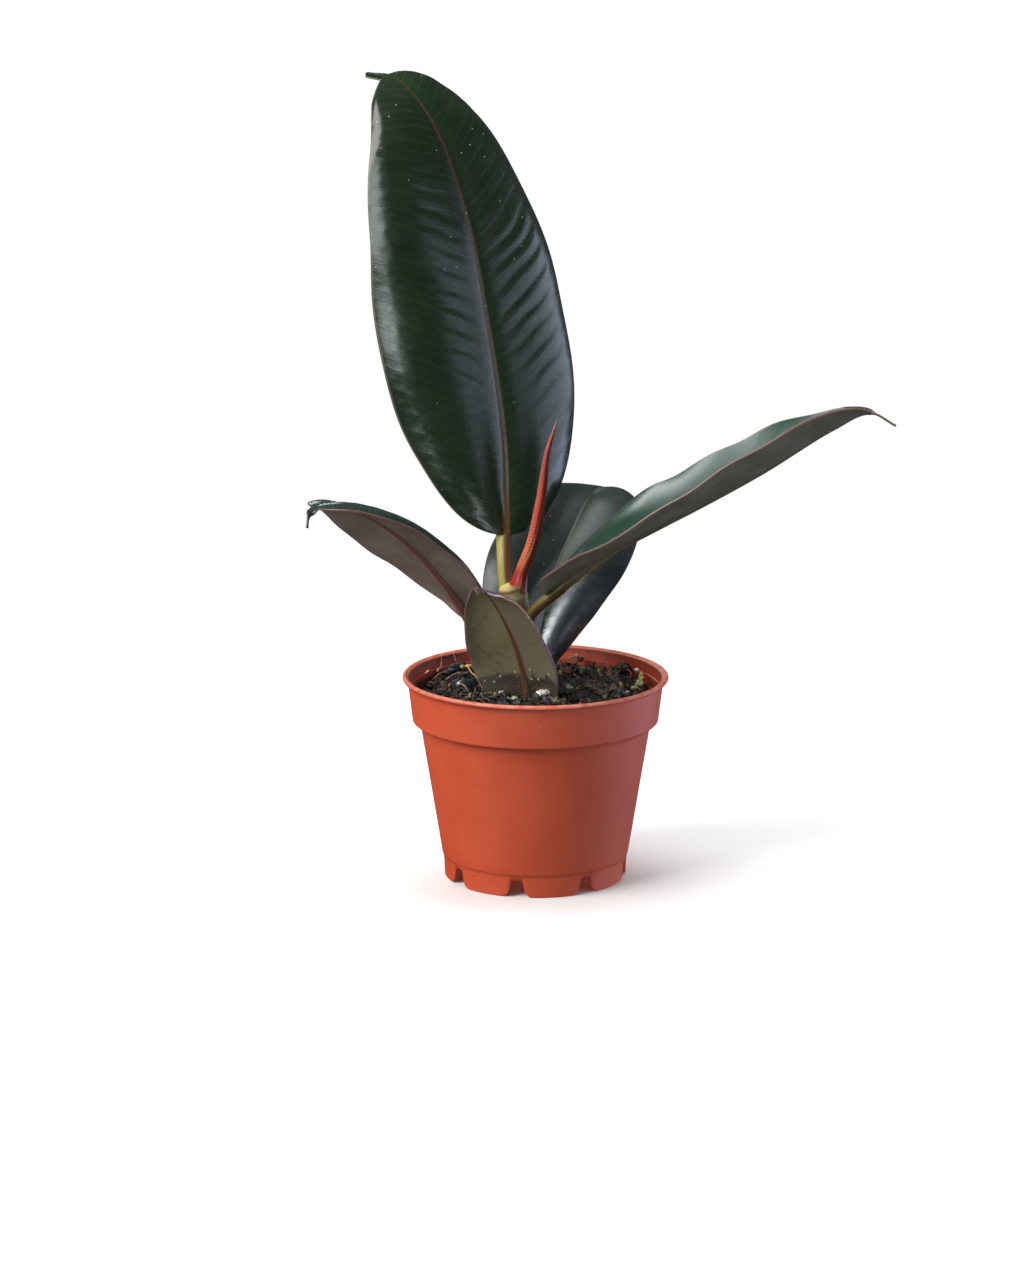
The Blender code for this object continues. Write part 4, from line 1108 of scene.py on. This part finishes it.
def scattered(draw, count, low, high, power, slim):
    """Random grains with lengths between low and high, short ones most; slim ones are splinters."""
    places = []
    for _ in range(count):
        size = low + (high - low) * draw.random() ** power
        x, y = on_soil(draw, 0.5 * size)
        across = size * draw.uniform(slim, 1.0)
        sizes = (size, across, min(across, size * draw.uniform(slim, 0.8)))
        turn = lying(draw.uniform(0, 360), draw.gauss(0, 24), draw.uniform(0, 360))
        centre = (x, y, soil_height(x, y) + 0.12 * size + draw.uniform(-0.2, 0.3))
        places.append((centre, sizes, turn, draw.choice(CRUMB_TONES)))
    return places


def placed_bits(draw):
    """The bits that have a set place, each rolled a little by chance."""
    places = []
    for centre, sizes, tone, *turned in BITS:
        heading, lean = turned or (0, 0)
        places.append((centre, sizes, lying(heading, lean, draw.uniform(-20, 20)), tone))
    return places


def wall_bits(draw):
    """Damp crumbs that stick to the inside of the wall, most of them at the right."""
    places = []
    for _ in range(WALL_CRUMBS):
        angle = math.radians(draw.gauss(28, 22))
        high = draw.random() ** 1.6
        radius = COLLAR_FOOT_RADIUS - POT_WALL - 0.1 + 1.0 * high
        size = draw.uniform(0.3, 1.1) * (1.1 - 0.5 * high)
        centre = (radius * math.cos(angle), radius * math.sin(angle), SOIL_EDGE + 0.3 + 3.0 * high)
        sizes = (size, size * draw.uniform(0.5, 1.0), size * draw.uniform(0.4, 0.8))
        places.append((centre, sizes, lying(draw.uniform(0, 360), draw.uniform(-60, 60), 0),
                       draw.choice(["black", "peat", "brown", "peat", "olive"])))
    return places


def fibres(name, strands, sides=5):
    """Bent threads in one piece; each has the points along it, a radius and a tone."""
    parts = []
    for along, radius, tone in strands:
        axis = along_curve(smooth_curve(along), np.linspace(0, 1, len(FIBRE_TAPER)))
        rings, _ = tube_points(axis, radius * np.array(FIBRE_TAPER), sides)
        parts.append((rings.reshape(-1, 3), ring_faces(*rings.shape[:2]), TONES[tone]))
    return joined(name, parts, 0.5)


def loose_strands(draw, count):
    """Short threads that lie on the soil, arch over it or stick up a little."""
    strands = []
    for _ in range(count):
        x, y = on_soil(draw, 1.5)
        heading = draw.uniform(0, 2 * math.pi)
        length = draw.uniform(1.5, 5.0)
        bend = draw.uniform(-1.0, 1.0)
        along = []
        for k in range(4):
            reach = length * (k / 3 - 0.5)
            side = bend * (1 - (2 * k / 3 - 1) ** 2)
            px = x + reach * math.cos(heading) - side * math.sin(heading)
            py = y + reach * math.sin(heading) + side * math.cos(heading)
            inside = min(1.0, (SOIL_RADIUS - 0.3) / max(0.1, math.hypot(px, py)))
            px, py = px * inside, py * inside
            along.append((px, py, soil_height(px, py) + draw.uniform(0.0, 0.8)))
        strands.append((along, draw.uniform(0.04, 0.10), draw.choice(FIBRE_TONES)))
    return strands


def make_soil(draw):
    balls = [(centre, (size * 2, size * 1.9, size * 1.8), np.eye(3), "white") for centre, size in PERLITE]
    pieces = [
        soil_bed(),
        lumps("soil_crumbs", scattered(draw, CRUMBS, 0.4, 1.9, 2.2, 0.3), 1, 0.55, draw, 0.6),
        lumps("soil_clods", scattered(draw, CLODS, 1.2, 3.2, 1.6, 0.45), 3, 0.5, draw, 0.7),
        lumps("soil_bits", placed_bits(draw), 3, 0.35, draw, 0.5),
        lumps("perlite", balls, 3, 0.8, draw, 0.35),
        lumps("wall_crumbs", wall_bits(draw), 2, 0.6, draw, 0.5),
        fibres("soil_fibres", loose_strands(draw, STRANDS)),
        fibres("soil_roots", ROOTS, 7),
    ]
    for made in pieces:
        stands_for(made, "potting_soil", "soil")


# Stem and sheath

def make_stem():
    """Green bark with a swelling at each leaf's node, and a pale rounded collar on top."""
    shares = np.linspace(0, 1, TUBE_ROWS)
    radius = np.interp(shares, np.linspace(0, 1, len(STEM_RADIUS)), STEM_RADIUS)
    for at in STEM_NODES:
        radius = radius + 0.35 * np.exp(-((shares - at) / 0.02) ** 2)
        radius = radius - 0.12 * np.exp(-((shares - at - 0.035) / 0.008) ** 2)
    radius = radius + 0.40 * np.exp(-((shares - 0.975) / 0.03) ** 2)
    radius = radius * np.sqrt(np.clip(1 - np.clip((shares - 0.975) / 0.025, 0, 1) ** 2 * 0.8, 0, 1))
    rise = np.outer(smooth_step(0.8, 1.0, shares), COLLAR_SHIFT)
    axis = along_curve(smooth_curve(STEM_AXIS), shares) + rise
    points, turn = tube_points(axis, radius, STEM_SIDES)
    points = swollen(points, axis, 0.02 * noise_at(points, 1.2))
    shape = points.shape[:2]
    stored = stacked(shape, np.cos(turn), shares[:, None], 0.0)
    stem = piece("stem_bark", points, ring_faces(*shape), stem_finish(), {"run": stored})
    stands_for(stem, "stem_green", "stem")


def stem_finish():
    """Brownish green bark with lengthwise streaks, and the pale collar, with painted light on its left and
    painted shade on its right.
    """
    look = Finish("stem_bark")
    _, turned, run, _ = look.stored("run")
    bark = look.streaks((1500.0, 1500.0, 300.0), 4.0, 0.65)
    look.color = look.mix(look.step(bark, 0.35, 0.7), (0.060, 0.052, 0.020), (0.17, 0.15, 0.05))
    # painted light and shade: the collar pale yellow-green on its lit left side and dark on its shaded right
    pale = look.mix(look.step(turned, -0.5, 0.6), (0.17, 0.13, 0.035), (0.62, 0.50, 0.20))
    look.coat(pale, look.step(run, 0.86, 0.94))
    rings = look.streaks((100.0, 100.0, 2600.0), 2.0)
    return look.finish(0.5, look.bump(rings, 0.04, look.bump(bark, 0.10)), 0.4)


def make_sheath():
    """A pointed roll with a flared base, a seam that winds up it and faint cross wrinkles."""
    shares = np.linspace(0, 1, TUBE_ROWS)
    radius = np.interp(shares, SHEATH_SHARES, SHEATH_RADIUS)
    radius = np.convolve(np.pad(radius, 8, mode="edge"), np.ones(17) / 17, mode="valid")
    axis = along_curve(smooth_curve(SHEATH_AXIS), shares)
    points, turn = tube_points(axis, radius, SHEATH_SIDES)
    run = shares[:, None]
    off = (turn - 0.9 - 2.2 * run + math.pi) % (2 * math.pi) - math.pi
    fold = -0.09 * np.exp(-(off / 0.12) ** 2) + 0.06 * smooth_step(0.5, 0.0, np.abs(off - 0.3))
    fold = fold * smooth_step(0.10, 0.25, run)
    wrinkle = 0.016 * np.sin(run * 330 + 2 * np.sin(turn + run * 9))
    wrinkle = wrinkle * smooth_step(0.12, 0.2, run) * smooth_step(0.85, 0.5, run)
    points = swollen(points, axis, fold + wrinkle)
    stored = stacked(off.shape, np.cos(turn), run, np.exp(-(off / 0.16) ** 2))
    sheath = piece("sheath_skin", points, ring_faces(*off.shape), sheath_finish(), {"run": stored})
    stands_for(sheath, "sheath_red", "sheath")


def sheath_finish():
    """Crimson at the flared base, then orange, then red, brownish at the tip; painted light on its left and
    painted shade to the right.
    """
    look = Finish("sheath_skin")
    _, turned, run, seam = look.stored("run")
    look.color = look.mix(look.step(run, 0.10, 0.16), (0.46, 0.032, 0.022), (0.58, 0.125, 0.028))
    look.coat((0.40, 0.040, 0.018), look.step(run, 0.20, 0.40))
    look.coat((0.27, 0.032, 0.026), look.step(run, 0.50, 0.80))
    look.coat((0.26, 0.15, 0.07), look.step(run, 0.9, 0.99))
    # painted light: a lighter orange-pink down the left side, above the base
    look.coat((0.58, 0.22, 0.16), look.step(turned, 0.35, 0.95, 0.0, 0.40), look.step(run, 0.10, 0.16))
    # painted shade: darker down the right side
    look.coat((0.13, 0.014, 0.008), look.step(turned, 0.45, -0.45, 0.0, 0.75))
    streaks = look.streaks((2600.0, 2600.0, 200.0))
    look.coat((0.26, 0.02, 0.012), look.step(streaks, 0.45, 0.75, 0.0, 0.2))
    look.coat((0.14, 0.012, 0.008), seam, look.step(run, 0.12, 0.22, 0.0, 0.4))
    return look.finish(0.34, look.bump(streaks, 0.02), 0.36)


# Stage

def stage_floor():
    """A pale floor that fades to plain white away from the plant."""
    look = Finish("floor")
    look.color = (0.88, 0.88, 0.88)
    look.finish(0.8, specular=0.1)
    light = look.add("Emission", {"Color": (1.0, 1.0, 1.0), "Strength": 1.0}, 0)
    glow = look.step(look.length(look.place()), 0.06, 0.42)
    blend = look.add("MixShader", {0: glow, 1: look.shader.outputs[0], 2: light}, 0)
    look.put(look.tree.nodes["Material Output"].inputs["Surface"], blend)
    corners = np.array([(-1, -1, 0), (1, -1, 0), (1, 1, 0), (-1, 1, 0)])
    floor = piece("floor", FLOOR_REACH * corners, [(0, 1, 2, 3)], look.material)
    floor.visible_glossy = False
    floor.visible_diffuse = False
    floor.visible_shadow = False


def direction(azimuth, elevation):
    """The way from the plant at these angles, in degrees; azimuth runs from +X towards +Y."""
    a, e = math.radians(azimuth), math.radians(elevation)
    return Vector((math.cos(a) * math.cos(e), math.sin(a) * math.cos(e), math.sin(e)))


def facing(way):
    """The turn of a light or camera that looks back along this way."""
    return way.to_track_quat("Z", "Y").to_euler()


def softbox(name, azimuth, elevation, distance, size, radiance, color, shine=True, fill=True):
    """A rectangular light that looks at the plant from a distance in metres.

    Shine lets it show in gloss, and fill lets it light the matt surfaces.
    """
    data = bpy.data.lights.new(name, "AREA")
    data.shape = "RECTANGLE"
    data.size, data.size_y = size
    data.energy = radiance * math.pi * size[0] * size[1]
    data.color = color
    light = linked(bpy.data.objects.new(name, data))
    away = direction(azimuth, elevation)
    light.location = Vector(LIGHT_CENTRE) + away * distance
    light.rotation_euler = facing(away)
    light.visible_camera = False
    light.visible_glossy = shine
    light.visible_diffuse = fill
    return light


def studio():
    softbox("key", -150, 34, 1.1, (0.7, 0.9), 8.2, (1.0, 0.985, 0.96))
    softbox("overhead", 80, 78, 1.1, (0.9, 0.9), 5.0, (0.98, 0.99, 1.0), shine=False)
    softbox("front_strip", -118, 13.0, 0.5, (0.24, 0.27), 7.2, (0.90, 0.97, 1.0), fill=False)
    softbox("cool_side", -26, 4.0, 1.0, (0.80, 0.27), 1.8, (0.72, 0.80, 1.0))
    softbox("cool_edge", 22, 4.6, 1.0, (1.02, 0.30), 2.0, (0.70, 0.80, 1.0))
    softbox("back_strip", 111, 23, 1.0, (0.46, 0.11), 7.0, (0.95, 0.98, 1.0), fill=False)
    glint = softbox("low_glint", -66, -7.0, 0.12, (0.060, 0.026), 1.15, (0.93, 0.95, 1.0), fill=False)
    glint.rotation_euler = facing(glint.location - Vector(GLINT_TARGET))
    glint.data.spread = math.radians(GLINT_SPREAD)
    softbox("floor_glow", 8, -16, 0.34, (0.38, 0.14), 3.6, (0.62, 0.72, 1.0), fill=False)
    bpy.context.scene.view_settings.view_transform = "Standard"


def surround():
    """White to the camera, dim to the matt surfaces and nearly dark in gloss."""
    world = bpy.data.worlds.new("surround")
    world.use_nodes = True
    look = Nodes(world.node_tree)
    ray = look.node("LightPath", {})
    unseen = look.add("MapRange", {"Value": ray.outputs["Is Glossy Ray"], "To Min": 0.30, "To Max": 0.05}, 0)
    seen = look.add("MapRange", {"Value": ray.outputs["Is Camera Ray"], "To Min": unseen, "To Max": 1.0}, 0)
    back = look.tree.nodes["Background"]
    look.put(back.inputs["Strength"], seen)
    look.put(back.inputs["Color"], (1.0, 1.0, 1.0))
    bpy.context.scene.world = world


def set_camera():
    data = bpy.data.cameras.new("camera")
    data.lens = CAMERA_LENS
    data.clip_end = 50.0
    camera = linked(bpy.data.objects.new("camera", data))
    away = direction(-90.0, CAMERA_ELEVATION)
    camera.location = (Vector(CAMERA_TARGET) + away * CAMERA_DISTANCE) * MM
    camera.rotation_euler = facing(away)
    bpy.context.scene.camera = camera


# The whole plant

set_camera()
studio()
surround()
stage_floor()
stands_for(pot_piece(), "terracotta_plastic", "pot")
make_soil(random.Random(SEED))
make_stem()
make_sheath()
for leaf_number, (leaf_name, leaf_form) in enumerate(LEAVES.items()):
    make_leaf(leaf_number, leaf_name, leaf_form)
